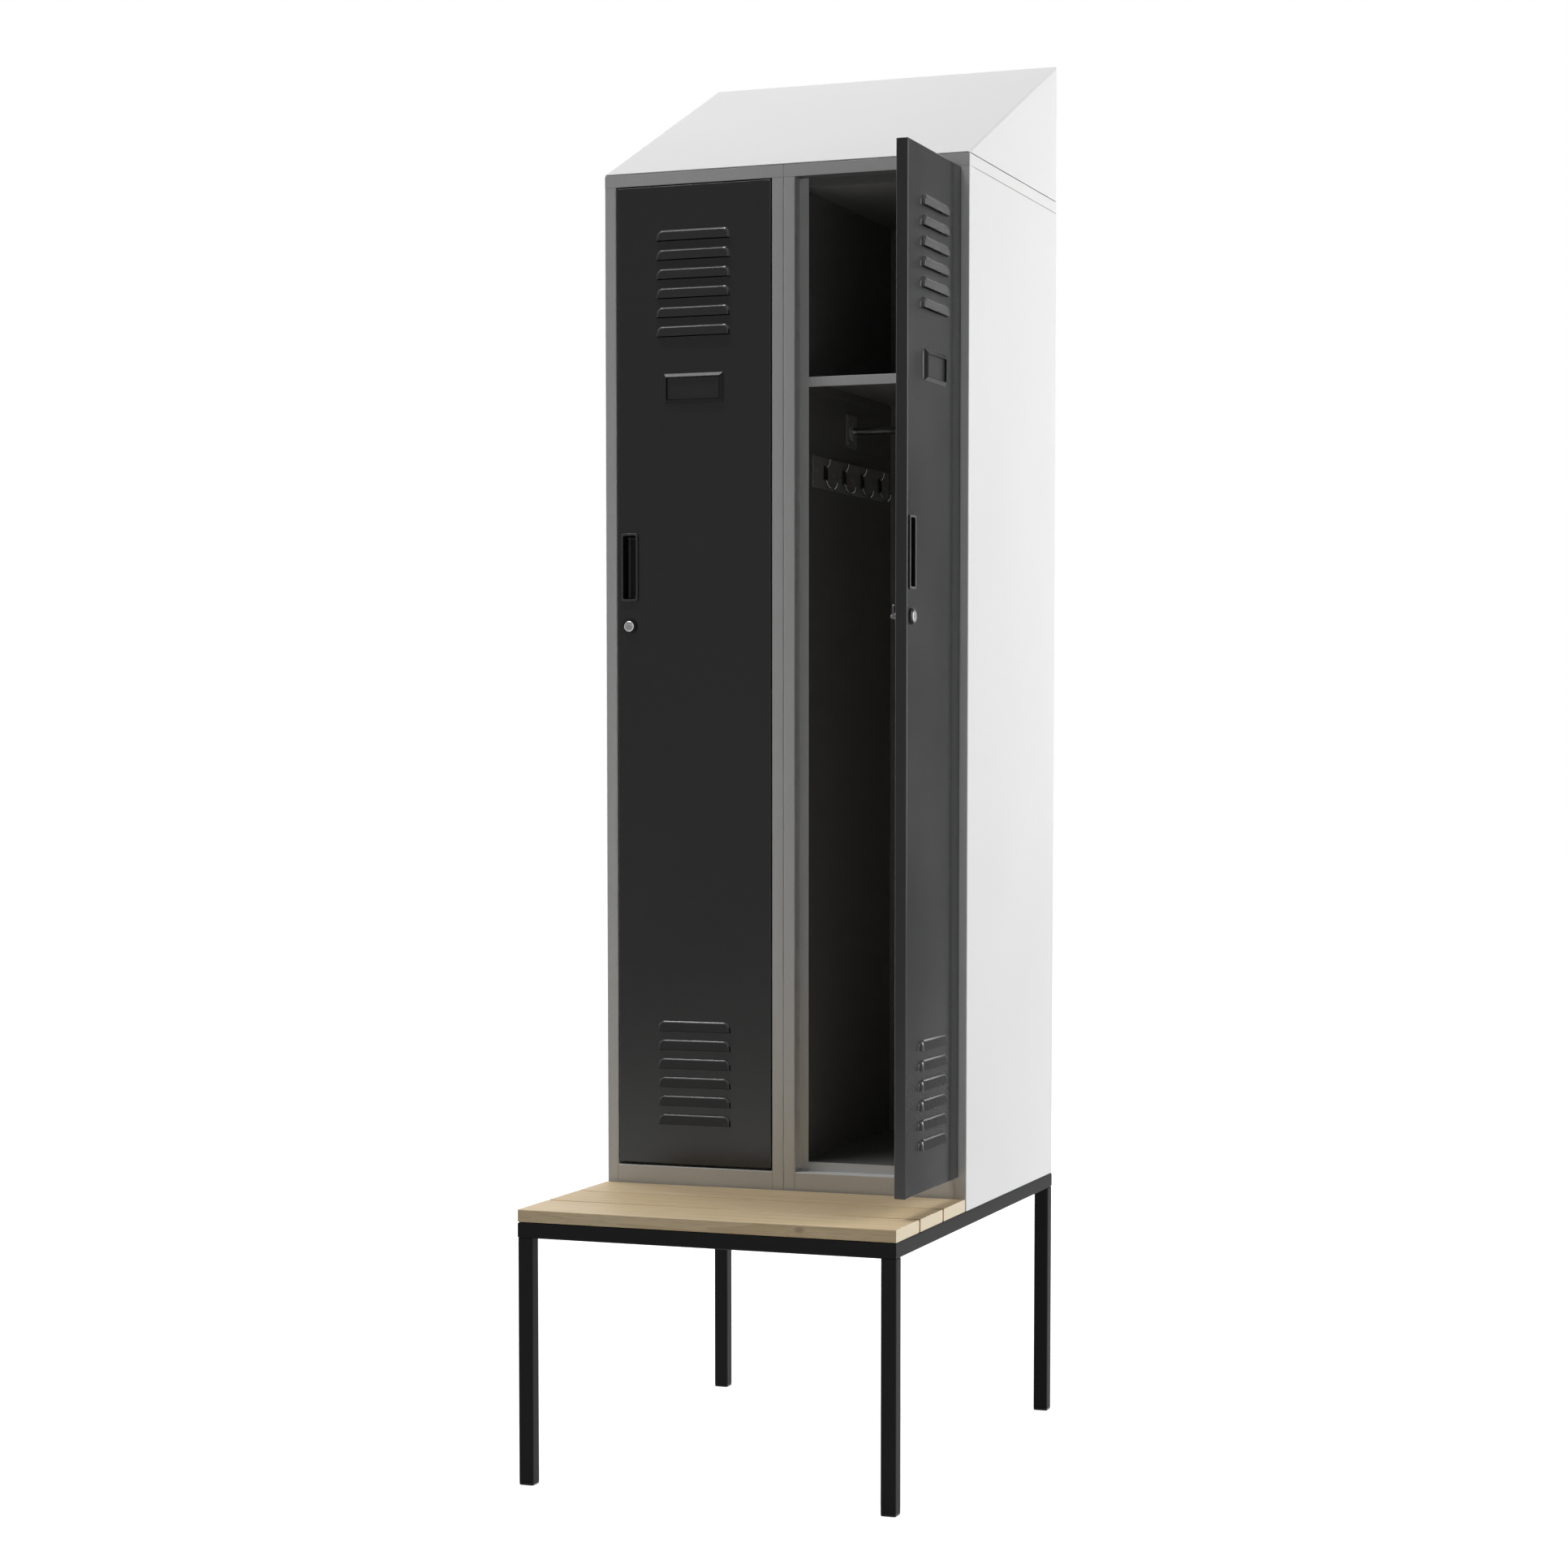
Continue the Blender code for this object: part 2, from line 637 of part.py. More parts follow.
def ring_edges(bm, ring):
    """Edges round a ring of vertices, made where they are missing."""
    edges = []
    for a, b in zip(ring, ring[1:] + ring[:1]):
        edges.append(bm.edges.get((a, b)) or bm.edges.new((a, b)))
    return edges


def coat_hook(wall, depth):
    """Plate with a long lower prong and a short upper one, as a list of solids."""
    front = wall + HOOK_PLATE_THICKNESS
    centre = STRIP_CENTRE_HEIGHT
    half_plate = HOOK_PLATE_HEIGHT / 2
    plate = block((wall - STRIP_THICKNESS / 2, depth - HOOK_PLATE_WIDTH / 2, centre - half_plate),
                  (front, depth + HOOK_PLATE_WIDTH / 2, centre + half_plate))
    rod = HOOK_ROD / 2
    tip = HOOK_TIP / 2

    root = centre - half_plate + rod
    quarter = [math.pi / 2 * i / HOOK_STEPS for i in range(1, HOOK_STEPS + 1)]
    dip = front + COAT_PRONG_DIP
    lowest = root - COAT_PRONG_DROP
    lower = [Vector((front - rod, depth, root))]
    lower += [Vector((dip - COAT_PRONG_DIP * math.cos(turn), depth, root - COAT_PRONG_DROP * math.sin(turn)))
              for turn in quarter]
    lower += [Vector((dip + (COAT_PRONG_REACH - COAT_PRONG_DIP) * math.sin(turn), depth,
                      lowest + COAT_PRONG_RISE * (1 - math.cos(turn)))) for turn in quarter]
    lower.append(lower[-1] + Vector((0, 0, tip)))
    lower_radii = [rod] * (len(lower) - 2) + [tip, tip / 2]

    head = centre + half_plate - rod
    upper = [Vector((front - rod, depth, head))]
    upper += [Vector((front + HAT_PRONG_REACH * math.sin(turn), depth,
                      head + HAT_PRONG_RISE * (1 - math.cos(turn)))) for turn in quarter]
    upper.append(upper[-1] + Vector((0, 0, tip)))
    upper_radii = [rod] * (len(upper) - 2) + [tip, tip / 2]
    return [plate, swept_rod(lower, lower_radii), swept_rod(upper, upper_radii)]


def hook_depths():
    """Depths of the coat hooks, spread evenly about the strip's middle."""
    return [FITTINGS_DEPTH + (i - (HOOK_COUNT - 1) / 2) * HOOK_PITCH for i in range(HOOK_COUNT)]


def hook_strip():
    """Flat strip on the left lining wall with its coat hooks."""
    wall = STILE_WIDTH + SEAT
    face = wall + STRIP_THICKNESS
    strip = block((wall, FITTINGS_DEPTH - STRIP_LENGTH / 2, STRIP_CENTRE_HEIGHT - STRIP_HEIGHT / 2),
                  (face, FITTINGS_DEPTH + STRIP_LENGTH / 2, STRIP_CENTRE_HEIGHT + STRIP_HEIGHT / 2),
                  STRIP_EDGE, 1)
    for depth in hook_depths():
        strip = fused(strip, *coat_hook(face, depth))
    return strip


def louvre_outline(inset, raise_bottom):
    """Half-round-cornered outline of a louver, drawn in by an inset."""
    half_base = LOUVRE_BASE_WIDTH / 2 - inset
    half_crest = LOUVRE_CREST_WIDTH / 2 - inset
    top = LOUVRE_HEIGHT - inset
    lean = math.atan2(LOUVRE_HEIGHT, half_base - half_crest)
    radius = LOUVRE_CORNER - inset
    setback = radius * math.tan(lean / 2)
    centre_x = half_crest + (half_base - half_crest) * (inset / LOUVRE_HEIGHT) - setback
    right = arc((centre_x, top - radius), radius, math.pi / 2 - lean, math.pi / 2, LOUVRE_CORNER_STEPS)
    left = [(-x, z) for x, z in reversed(right)]
    return [(half_base, raise_bottom)] + right + left + [(-half_base, raise_bottom)]


def louvre_solid(levels, bottom):
    """Lofts a louver outline through (y, inset) levels; the crest, the last, lies deeper at its top."""
    bm = bmesh.new()
    rings = []
    crest = levels[-1][0]
    for y, inset in levels:
        lean = max(0.0, y / crest) * LOUVRE_FALL / LOUVRE_HEIGHT
        rings.append([bm.verts.new((x, y + lean * z, z)) for x, z in louvre_outline(inset, bottom)])
    for a, b in zip(rings, rings[1:]):
        for i in range(len(a)):
            j = (i + 1) % len(a)
            bm.faces.new((a[i], a[j], b[j], b[i]))
    bm.faces.new(rings[0])
    bm.faces.new(rings[-1])
    return mesh_from(bm)


def louvre_heights():
    """Bottom edges of the louvers in the upper and the lower group."""
    upper = DOOR_TOP - UPPER_LOUVRE_SETBACK - LOUVRE_HEIGHT
    lower = DOOR_BOTTOM + LOWER_LOUVRE_SETBACK
    rows = [upper - i * LOUVRE_PITCH for i in range(LOUVRE_COUNT)]
    return rows + [lower + i * LOUVRE_PITCH for i in range(LOUVRE_COUNT)]


def moved(mesh, offset):
    """A shifted copy of a mesh."""
    copy = mesh.copy()
    copy.transform(Matrix.Translation(offset))
    return copy


def hinge_arm(middle):
    """Goose-neck arm: an eye round the hinge rod and a neck that runs back and into the door."""
    half = ARM_HEIGHT / 2
    low, high = middle - half, middle + half
    eye = disc("z", (PIVOT_U, PIVOT_DEPTH), EYE_DIAMETER, low, high, EYE_SIDES)
    thin = ARM_THICKNESS / 2
    elbow = PIVOT_DEPTH + ARM_REACH
    path = ((PIVOT_U + thin, PIVOT_DEPTH), (PIVOT_U + thin, elbow + thin),
            (DOOR_RIGHT - SHEET / 2, elbow + thin))
    neck = prism(folded(path, 1, ARM_THICKNESS, ARM_THICKNESS * 2), "z", low, high)
    bore = disc("z", (PIVOT_U, PIVOT_DEPTH), ROD_DIAMETER + 2 * SEAT, low - OVERRUN, high + OVERRUN,
                EYE_SIDES)
    return cut(fused(eye, neck), bore)


def door_skin():
    """Door pan with pressed louvers, hinge arms, and holes for the handle cup and the lock."""
    low = (DOOR_LEFT, 0, DOOR_BOTTOM)
    high = (DOOR_RIGHT, DOOR_THICKNESS, DOOR_TOP)
    outer = block(low, high, DOOR_EDGE, 2)
    hollow = block((DOOR_LEFT + SHEET, SHEET, DOOR_BOTTOM + SHEET),
                   (DOOR_RIGHT - SHEET, DOOR_THICKNESS - SHEET, DOOR_TOP - SHEET))
    mouth = block((DOOR_LEFT + DOOR_FLANGE, DOOR_THICKNESS / 2, DOOR_BOTTOM + DOOR_FLANGE),
                  (DOOR_RIGHT - DOOR_FLANGE, DOOR_THICKNESS + OVERRUN, DOOR_TOP - DOOR_FLANGE))
    pan = cut(outer, fused(hollow, mouth))

    half_shoulder = LOUVRE_SHOULDER / 3
    hood = louvre_solid(((SHEET / 2, 0), (-LOUVRE_DEPTH + LOUVRE_SHOULDER / 2, half_shoulder),
                         (-LOUVRE_DEPTH, LOUVRE_SHOULDER)), 0)
    void = louvre_solid(((SHEET + OVERRUN, SHEET),
                         (-LOUVRE_DEPTH + LOUVRE_SHOULDER / 2 + SHEET / 2, half_shoulder + SHEET),
                         (-LOUVRE_DEPTH + SHEET, LOUVRE_SHOULDER + SHEET)), -LOUVRE_SLOT_DROP)
    spots = [(DOOR_CENTRE, 0, height) for height in louvre_heights()]
    pan = fused(pan, gathered([moved(hood, spot) for spot in spots]))
    pan = cut(pan, gathered([moved(void, spot) for spot in spots]))

    cup_half_width = HANDLE_WIDTH / 2 - HANDLE_RIM / 2 + SEAT
    cup_half_height = HANDLE_HEIGHT / 2 - HANDLE_RIM / 2 + SEAT
    cup_hole = prism(rounded(cup_half_width, cup_half_height, HANDLE_CORNER, 2,
                             (HANDLE_CENTRE, HANDLE_CENTRE_HEIGHT)), "y", -OVERRUN, DOOR_THICKNESS / 2)
    lock_hole = disc("y", (HANDLE_CENTRE, LOCK_HEIGHT), HOUSING_DIAMETER + 2 * SEAT,
                     -OVERRUN, DOOR_THICKNESS / 2, LOCK_SIDES)
    pan = cut(pan, gathered([cup_hole, lock_hole]))
    return fused(pan, gathered([hinge_arm(middle) for middle in hinge_heights()]))


def door_stiffener():
    """Hat-section channel behind the skin, near the hinges."""
    right = DOOR_RIGHT - STIFFENER_INSET
    left = right - STIFFENER_WIDTH
    back = SHEET + SEAT
    path = ((left, back), (left + STIFFENER_FOOT, back), (left + STIFFENER_FOOT, back + STIFFENER_DEPTH),
            (right - STIFFENER_FOOT, back + STIFFENER_DEPTH), (right - STIFFENER_FOOT, back), (right, back))
    return prism(folded(path, 1), "z", DOOR_BOTTOM + STIFFENER_END_GAP, DOOR_TOP - STIFFENER_END_GAP)


def handle_cup():
    """Recessed grip: a rim on the door's face and a cup with a round floor behind it."""
    centre = (HANDLE_CENTRE, HANDLE_CENTRE_HEIGHT)
    half_width, half_height = HANDLE_WIDTH / 2, HANDLE_HEIGHT / 2
    rim = prism(rounded(half_width, half_height, HANDLE_CORNER, 3, centre), "y", -HANDLE_PROUD, -SEAT)
    body = prism(rounded(half_width - HANDLE_RIM / 2, half_height - HANDLE_RIM / 2, HANDLE_CORNER, 2, centre),
                 "y", -HANDLE_PROUD / 2, HANDLE_CUP_DEPTH + HANDLE_CUP_WALL)
    inner_width = half_width - HANDLE_RIM
    inner_height = half_height - HANDLE_RIM
    scoop = block((centre[0] - inner_width, -HANDLE_PROUD - OVERRUN, centre[1] - inner_height),
                  (centre[0] + inner_width, HANDLE_CUP_DEPTH, centre[1] + inner_height),
                  HANDLE_CUP_ROUND, 3, lambda edge: all(v.co.y > 0 for v in edge.verts))
    return cut(fused(rim, body), scoop)


def label_holder():
    """Raised frame with wide sloping sides round a shallow blank pocket."""
    half_width, half_height = LABEL_WIDTH / 2, LABEL_HEIGHT / 2
    border = LABEL_SLOPE + LABEL_LAND
    bm = bmesh.new()
    bm.from_mesh(block((-half_width, -LABEL_RIM, -half_height), (half_width, -SEAT, half_height)))
    bm.normal_update()
    rim = min(bm.faces, key=lambda face: face.normal.y)
    grown = bmesh.ops.extrude_face_region(bm, geom=[rim])["geom"]
    bmesh.ops.delete(bm, geom=[rim], context="FACES_ONLY")
    crest = [item for item in grown if isinstance(item, bmesh.types.BMVert)]
    bmesh.ops.scale(bm, vec=(1 - LABEL_SLOPE / half_width, 1, 1 - LABEL_SLOPE / half_height), verts=crest)
    bmesh.ops.translate(bm, vec=(0, LABEL_RIM - LABEL_PROUD, 0), verts=crest)
    bmesh.ops.translate(bm, vec=(DOOR_CENTRE, 0, LABEL_CENTRE_HEIGHT), verts=bm.verts)
    pocket = block((DOOR_CENTRE - half_width + border, -LABEL_PROUD - OVERRUN,
                    LABEL_CENTRE_HEIGHT - half_height + border),
                   (DOOR_CENTRE + half_width - border, -LABEL_PROUD + LABEL_POCKET,
                    LABEL_CENTRE_HEIGHT + half_height - border))
    return cut(mesh_from(bm), pocket)


def lock_housing():
    """Bezel on the door's face with a sleeve through the skin."""
    centre = (HANDLE_CENTRE, LOCK_HEIGHT)
    bezel = disc("y", centre, BEZEL_DIAMETER, -BEZEL_PROUD, -SEAT, LOCK_SIDES)
    sleeve = disc("y", centre, HOUSING_DIAMETER, -BEZEL_PROUD / 2, DOOR_THICKNESS + HOUSING_REACH, LOCK_SIDES)
    bore = disc("y", centre, BARREL_DIAMETER + 2 * SEAT, -BEZEL_PROUD - OVERRUN,
                DOOR_THICKNESS + HOUSING_REACH + OVERRUN, LOCK_SIDES)
    return cut(fused(bezel, sleeve), bore)


def lock_barrel():
    """Turning barrel with its keyway in front and its cam behind, about its own axis."""
    face = -BEZEL_PROUD - BARREL_PROUD
    cam_front = STOP_DEPTH + SHEET + CAM_CLEARANCE
    turned = ((face, BARREL_DIAMETER / 2 - BARREL_CHAMFER), (face + BARREL_CHAMFER, BARREL_DIAMETER / 2),
              (DOOR_THICKNESS + HOUSING_REACH, BARREL_DIAMETER / 2),
              (DOOR_THICKNESS + HOUSING_REACH, BARREL_SHANK_DIAMETER / 2),
              (cam_front + CAM_THICKNESS / 2, BARREL_SHANK_DIAMETER / 2))
    bm = bmesh.new()
    start = [bm.verts.new((0, turned[0][0], 0))]
    start += [bm.verts.new((radius, y, 0)) for y, radius in turned]
    start.append(bm.verts.new((0, turned[-1][0], 0)))
    edges = [bm.edges.new(pair) for pair in zip(start, start[1:])]
    bmesh.ops.spin(bm, geom=edges + start, cent=(0, 0, 0), axis=(0, 1, 0), angle=2 * math.pi,
                   steps=LOCK_SIDES, use_merge=True)
    bmesh.ops.remove_doubles(bm, verts=bm.verts, dist=SHEET / 100)
    barrel = mesh_from(bm)
    half = CAM_WIDTH / 2
    cam_outline = arc((0, 0), half, math.pi, 2 * math.pi, 6)
    cam_outline += [(half, CAM_LENGTH - half / 2), (half / 2, CAM_LENGTH), (-half / 2, CAM_LENGTH),
                    (-half, CAM_LENGTH - half / 2)]
    cam = prism(cam_outline, "y", cam_front, cam_front + CAM_THICKNESS)
    keyway = block((-KEYWAY_WIDTH / 2, face - OVERRUN, -KEYWAY_HEIGHT / 2),
                   (KEYWAY_WIDTH / 2, face + KEYWAY_DEPTH, KEYWAY_HEIGHT / 2))
    return cut(fused(barrel, cam), keyway)


def hinge_rod():
    """Full-height rod behind the stile, standing on the underframe's cross rail."""
    return disc("z", (PIVOT_U, PIVOT_DEPTH), ROD_DIAMETER, 0, PANEL_TOP, ROD_SIDES)


def module_meshes():
    """Every fixed piece of a module as (name, mesh, finish), in the module's own coordinates."""
    plain = side_panel()
    lining = lining_wall()
    bracket = rail_bracket()
    return {
        "latch_side_panel": (plain, "light_paint"),
        "hinge_side_panel": (hinge_side_panel(plain), "light_paint"),
        "top_cap": (top_cap(), "light_paint"),
        "bottom_rail": (bottom_rail(), "light_paint"),
        "lining_left": (lining, "dark_paint"),
        "lining_right": (mirrored(lining, MODULE), "dark_paint"),
        "back_panel": (back_panel(), "dark_paint"),
        "floor": (inner_tray(FLOOR_TOP - TRAY_FLANGE, FLOOR_TOP, "-z"), "dark_paint"),
        "ceiling": (inner_tray(CEILING, CEILING + TRAY_FLANGE, "+z"), "dark_paint"),
        "shelf": (shelf(), "dark_paint"),
        "clothes_rail": (clothes_rail(), "chrome"),
        "rail_bracket_left": (bracket, "black_plastic"),
        "rail_bracket_right": (mirrored(bracket, MODULE), "black_plastic"),
        "hook_strip": (hook_strip(), "dark_paint"),
        "hinge_rod": (hinge_rod(), "hinge_steel"),
    }


def door_meshes():
    """Every piece of a door except the lock barrel, in the module's own coordinates."""
    return {
        "door_skin": (door_skin(), "door_paint"),
        "door_stiffener": (door_stiffener(), "dark_paint"),
        "handle_cup": (handle_cup(), "black_plastic"),
        "label_holder": (label_holder(), "black_plastic"),
        "lock_housing": (lock_housing(), "black_plastic"),
    }


def build_door(side, module_left, pieces, barrel, angle):
    """Hangs a door on an empty at its hinge rod, turned open by an angle."""
    hinge = bpy.data.objects.new(side + "_hinge_axis", None)
    hinge.location = (module_left + PIVOT_U, CABINET_FRONT + PIVOT_DEPTH, BASE)
    hinge.rotation_euler.z = angle
    bpy.context.scene.collection.objects.link(hinge)
    for name, (mesh, finish) in pieces.items():
        place(side + "_" + name, mesh, finish, (-PIVOT_U, -PIVOT_DEPTH, 0), hinge)
    place(side + "_lock_barrel", barrel, "lock_steel",
          (HANDLE_CENTRE - PIVOT_U, -PIVOT_DEPTH, LOCK_HEIGHT), hinge)


def build_cabinet():
    """Two modules side by side, their doors and the roof over both."""
    fixed = module_meshes()
    hung = door_meshes()
    barrel = lock_barrel()
    for smooth_mesh in (fixed["clothes_rail"][0], fixed["hook_strip"][0], fixed["hinge_rod"][0],
                        hung["lock_housing"][0], hung["handle_cup"][0], barrel):
        smooth_mesh.shade_smooth()
        smooth_mesh.set_sharp_from_angle(angle=math.radians(40))
    for side, module_left, angle in (("left", -WIDTH / 2, 0.0),
                                     ("right", WIDTH / 2 - MODULE, RIGHT_DOOR_ANGLE)):
        for name, (mesh, finish) in fixed.items():
            place(side + "_" + name, mesh, finish, (module_left, CABINET_FRONT, BASE))
        build_door(side, module_left, hung, barrel, angle)
    place("sloping_roof", roof(), "light_paint", (0, CABINET_FRONT, BASE))


def clear_scene():
    for obj in list(bpy.data.objects):
        bpy.data.objects.remove(obj)


def main():
    clear_scene()
    build_underframe()
    build_slats()
    build_cabinet()


main()
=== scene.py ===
"""Looks of a sheet-steel locker with two compartments and a slatted bench.

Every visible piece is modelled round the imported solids. A module's own coordinates are u to the right
from its left edge, depth back from the cabinet's front, and height up from the underframe's top.
"""

import math

import bmesh
import bpy
from bpy.props import FloatProperty, FloatVectorProperty, IntProperty, PointerProperty
from mathutils import Matrix, Vector


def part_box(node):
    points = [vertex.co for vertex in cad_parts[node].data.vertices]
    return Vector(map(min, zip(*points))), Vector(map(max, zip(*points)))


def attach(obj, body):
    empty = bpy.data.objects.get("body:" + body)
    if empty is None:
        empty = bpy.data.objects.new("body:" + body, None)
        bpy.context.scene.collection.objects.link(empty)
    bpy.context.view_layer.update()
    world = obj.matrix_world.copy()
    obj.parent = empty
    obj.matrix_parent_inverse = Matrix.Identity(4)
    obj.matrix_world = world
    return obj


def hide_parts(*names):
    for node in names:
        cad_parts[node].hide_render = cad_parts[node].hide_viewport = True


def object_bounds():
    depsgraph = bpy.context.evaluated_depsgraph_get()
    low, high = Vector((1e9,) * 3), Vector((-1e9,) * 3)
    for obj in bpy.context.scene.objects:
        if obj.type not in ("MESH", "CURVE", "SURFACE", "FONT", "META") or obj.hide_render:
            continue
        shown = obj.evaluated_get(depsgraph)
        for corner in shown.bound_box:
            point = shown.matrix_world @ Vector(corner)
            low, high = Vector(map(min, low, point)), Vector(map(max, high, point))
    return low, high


bl_info = {
    "name": "Locker with bench",
    "version": (1, 0, 0),
    "blender": (4, 5, 0),
    "location": "3D View > Sidebar > Locker",
    "description": "Models the visible pieces of a two-compartment locker with a slatted bench",
    "category": "Object",
}

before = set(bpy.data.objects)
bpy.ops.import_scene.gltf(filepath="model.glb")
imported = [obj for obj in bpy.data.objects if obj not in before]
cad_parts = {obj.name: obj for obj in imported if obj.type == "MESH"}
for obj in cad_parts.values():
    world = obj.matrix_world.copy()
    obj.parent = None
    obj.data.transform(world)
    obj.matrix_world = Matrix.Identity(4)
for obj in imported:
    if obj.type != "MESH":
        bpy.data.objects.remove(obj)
CAD_LOW, CAD_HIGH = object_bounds()

# Places taken from the solids
SIDES = ("left", "right")
LATCH_LOW, LATCH_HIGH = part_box("left_latch_side_panel")
CAP_LOW, CAP_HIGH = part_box("left_top_cap")
MODULE_LEFT = {side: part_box(side + "_latch_side_panel")[0].x for side in SIDES}
MODULE = CAP_HIGH.x - CAP_LOW.x
CABINET_FRONT = LATCH_LOW.y
DEPTH = LATCH_HIGH.y - LATCH_LOW.y
BASE = LATCH_LOW.z
PANEL_TOP = LATCH_HIGH.z - BASE
CEILING = CAP_LOW.z - BASE
SHELL_TOP = CAP_HIGH.z - BASE

# Sheet and gaps
SHEET = 0.001
GAP = 0.0003
SEAM = 0.0006
TRAY_FOLD = 0.0013
STILE = 0.020
LIP = 0.015
STOP_DEPTH = 0.024
REAR_FLANGE = 0.018
CAP_BOTTOM = SHELL_TOP - 0.020
RAIL_FACE = 0.050
BOTTOM_FLANGE = 0.020
FLOOR_TOP = RAIL_FACE + LIP
WALL = STILE + GAP
LINING_FRONT = STOP_DEPTH + SHEET + GAP
BACK_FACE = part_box("left_back_panel")[0].y - CABINET_FRONT
LINING_REAR = BACK_FACE - GAP
TRAY_FLANGE = 0.014
SHELF_BOTTOM, SHELF_TOP = (corner.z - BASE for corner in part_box("left_shelf"))
ROOF_RISE = 0.2319 + GAP

# Door
OPENING_RIGHT = MODULE - STILE
DOOR_LEFT = STILE + 0.002
DOOR_RIGHT = OPENING_RIGHT - 0.002
DOOR_BOTTOM, DOOR_TOP = (corner.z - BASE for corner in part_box("left_door_skin"))
DOOR_CENTRE = (DOOR_LEFT + DOOR_RIGHT) / 2
DOOR_THICKNESS = 0.019
DOOR_FLANGE = 0.010
PIVOT_U = DOOR_RIGHT + 0.0045
PIVOT_DEPTH = 0.004
OPEN_ANGLE = {"left": 0.0, "right": math.radians(90)}
ARM_HEIGHTS = (DOOR_BOTTOM + 0.150, (DOOR_BOTTOM + DOOR_TOP) / 2, DOOR_TOP - 0.150)
ARM_HALF = 0.015
SLOT_HALF = 0.0165

# Louvers, and the (level, inset) steps of each hood and of the void behind it
LOUVRE_COUNT = 6
LOUVRE_PITCH = 0.0312
LOUVRE_HEIGHT = 0.0165
LOUVRE_BASE = 0.130
LOUVRE_CREST = 0.126
LOUVRE_CORNER = 0.0105
LOUVRE_DEPTH = 0.005
LOUVRE_FALL = 0.0018
UPPER_LOUVRES = DOOR_TOP - 0.0725 - LOUVRE_HEIGHT
LOWER_LOUVRES = DOOR_BOTTOM + 0.067
HOOD = ((-0.0005, -0.0007), (0.00003, -0.0007), (0.00012, -0.0004), (0.0003, -0.0001), (0.0007, 0.0),
        (0.0019, 0.0001), (0.0023, 0.0003), (0.00445, 0.0022), (0.0048, 0.0028), (LOUVRE_DEPTH, 0.0037))
VOID = ((-0.006, -0.0006), (-0.0004, -0.0006), (0.0004, 0.0), (0.0022, 0.0002), (0.0031, 0.0008),
        (0.0038, 0.0018), (LOUVRE_DEPTH - SHEET, 0.0032))

# Grip, label and lock
HANDLE_U = STILE + 0.0235
HANDLE_HEIGHT = 1.046
LABEL_HEIGHT = 1.337
LOCK_HEIGHT = 0.9485
HOUSING_RADIUS = 0.010
BARREL_RADIUS = 0.008
BARREL_REAR = -0.0220
GRIP_RIM = 0.0022

# Fittings in the compartments
FITTINGS_DEPTH = 0.275
RAIL_HEIGHT = 1.284
RAIL_RADIUS = 0.006
STRIP_HEIGHT = 1.203
STRIP_HALF = (0.195, 0.026)
STRIP_THICKNESS = 0.003
HOOK_DEPTHS = [FITTINGS_DEPTH + offset for offset in (-0.14025, -0.04675, 0.04675, 0.14025)]
HOOK_PLATE_HALF = (0.006, 0.012)
KNOT = (0.159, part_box("front_slat")[1].z - 0.008)

# Camera, solved from the photo's straight edges
PHOTO_WIDTH = 1932
FOCAL_PIXELS = 3995.47
SENSOR = 36.0
CAMERA_PLACE = (1.85116, -5.05541, 1.17481)
CAMERA_TURN = (math.radians(86.559), 0.0, math.radians(20.383))
CAMERA_SHIFT = 0.0985

# Fineness
TURN_STEPS = 40
SHARP = math.radians(32)
MERGE = 1e-6


def length(name, description, default, low, high):
    return FloatProperty(name=name, description=description, default=default, min=low, max=high,
                         unit="LENGTH")


def paint(name, description, default):
    return FloatVectorProperty(name=name, description=description, subtype="COLOR", default=default, size=3,
                               min=0, max=1)


class LockerSizes(bpy.types.PropertyGroup):
    """Roundings that the solids leave coarse."""

    bend: length("Bend radius", "Outer radius of the folds in the sheet", 0.002, 0.001, 0.004)
    bend_steps: IntProperty(name="Bend steps", description="Faces round each fold", default=5, min=2, max=12)
    door_edge: length("Door edge", "Radius of the folds round the door", 0.0015, 0.001, 0.003)
    tube_corner: length("Tube corner", "Corner radius of the square tube", 0.003, 0.001, 0.005)
    slat_edge: length("Slat edge", "Rounding of the wooden slats", 0.002, 0.001, 0.004)
    roof_fold: length("Roof fold", "Radius of the folds of the sloping roof", 0.004, 0.002, 0.008)


class LockerColours(bpy.types.PropertyGroup):
    """Colours of the finishes, as linear RGB."""

    light: paint("Light grey", "Powder coat of the cabinet", (0.79, 0.795, 0.79))
    dark: paint("Inside", "Powder coat of the compartments", (0.290, 0.287, 0.278))
    # the top stops take this colour as painted shade; the rear panels' outside and the floors take it as
    # their paint
    back: paint("Rear panels", "Rear panels' outside, floors and top stops", (0.150, 0.150, 0.147))
    door: paint("Doors", "Powder coat of the doors", (0.030, 0.0305, 0.031))
    fitting: paint("Fittings", "Paint of the hook strips and rail brackets", (0.47, 0.465, 0.45))
    underframe: paint("Underframe", "Powder coat of the tubes", (0.024, 0.024, 0.0245))
    wood_light: paint("Wood, light", "Pale part of the grain", (0.95, 0.765, 0.500))
    wood_dark: paint("Wood, dark", "Dark part of the grain", (0.76, 0.570, 0.330))
    end_grain: paint("End grain", "Sawn ends of the slats", (0.93, 0.80, 0.60))


def maths(operation, swapped=False):
    """A method that sets a maths node behind a socket."""
    def method(self, other=0.0):
        pair = (other, self) if swapped else (self, other)
        return self.graph.node("ShaderNodeMath", {"operation": operation}, dict(enumerate(pair)))
    return method


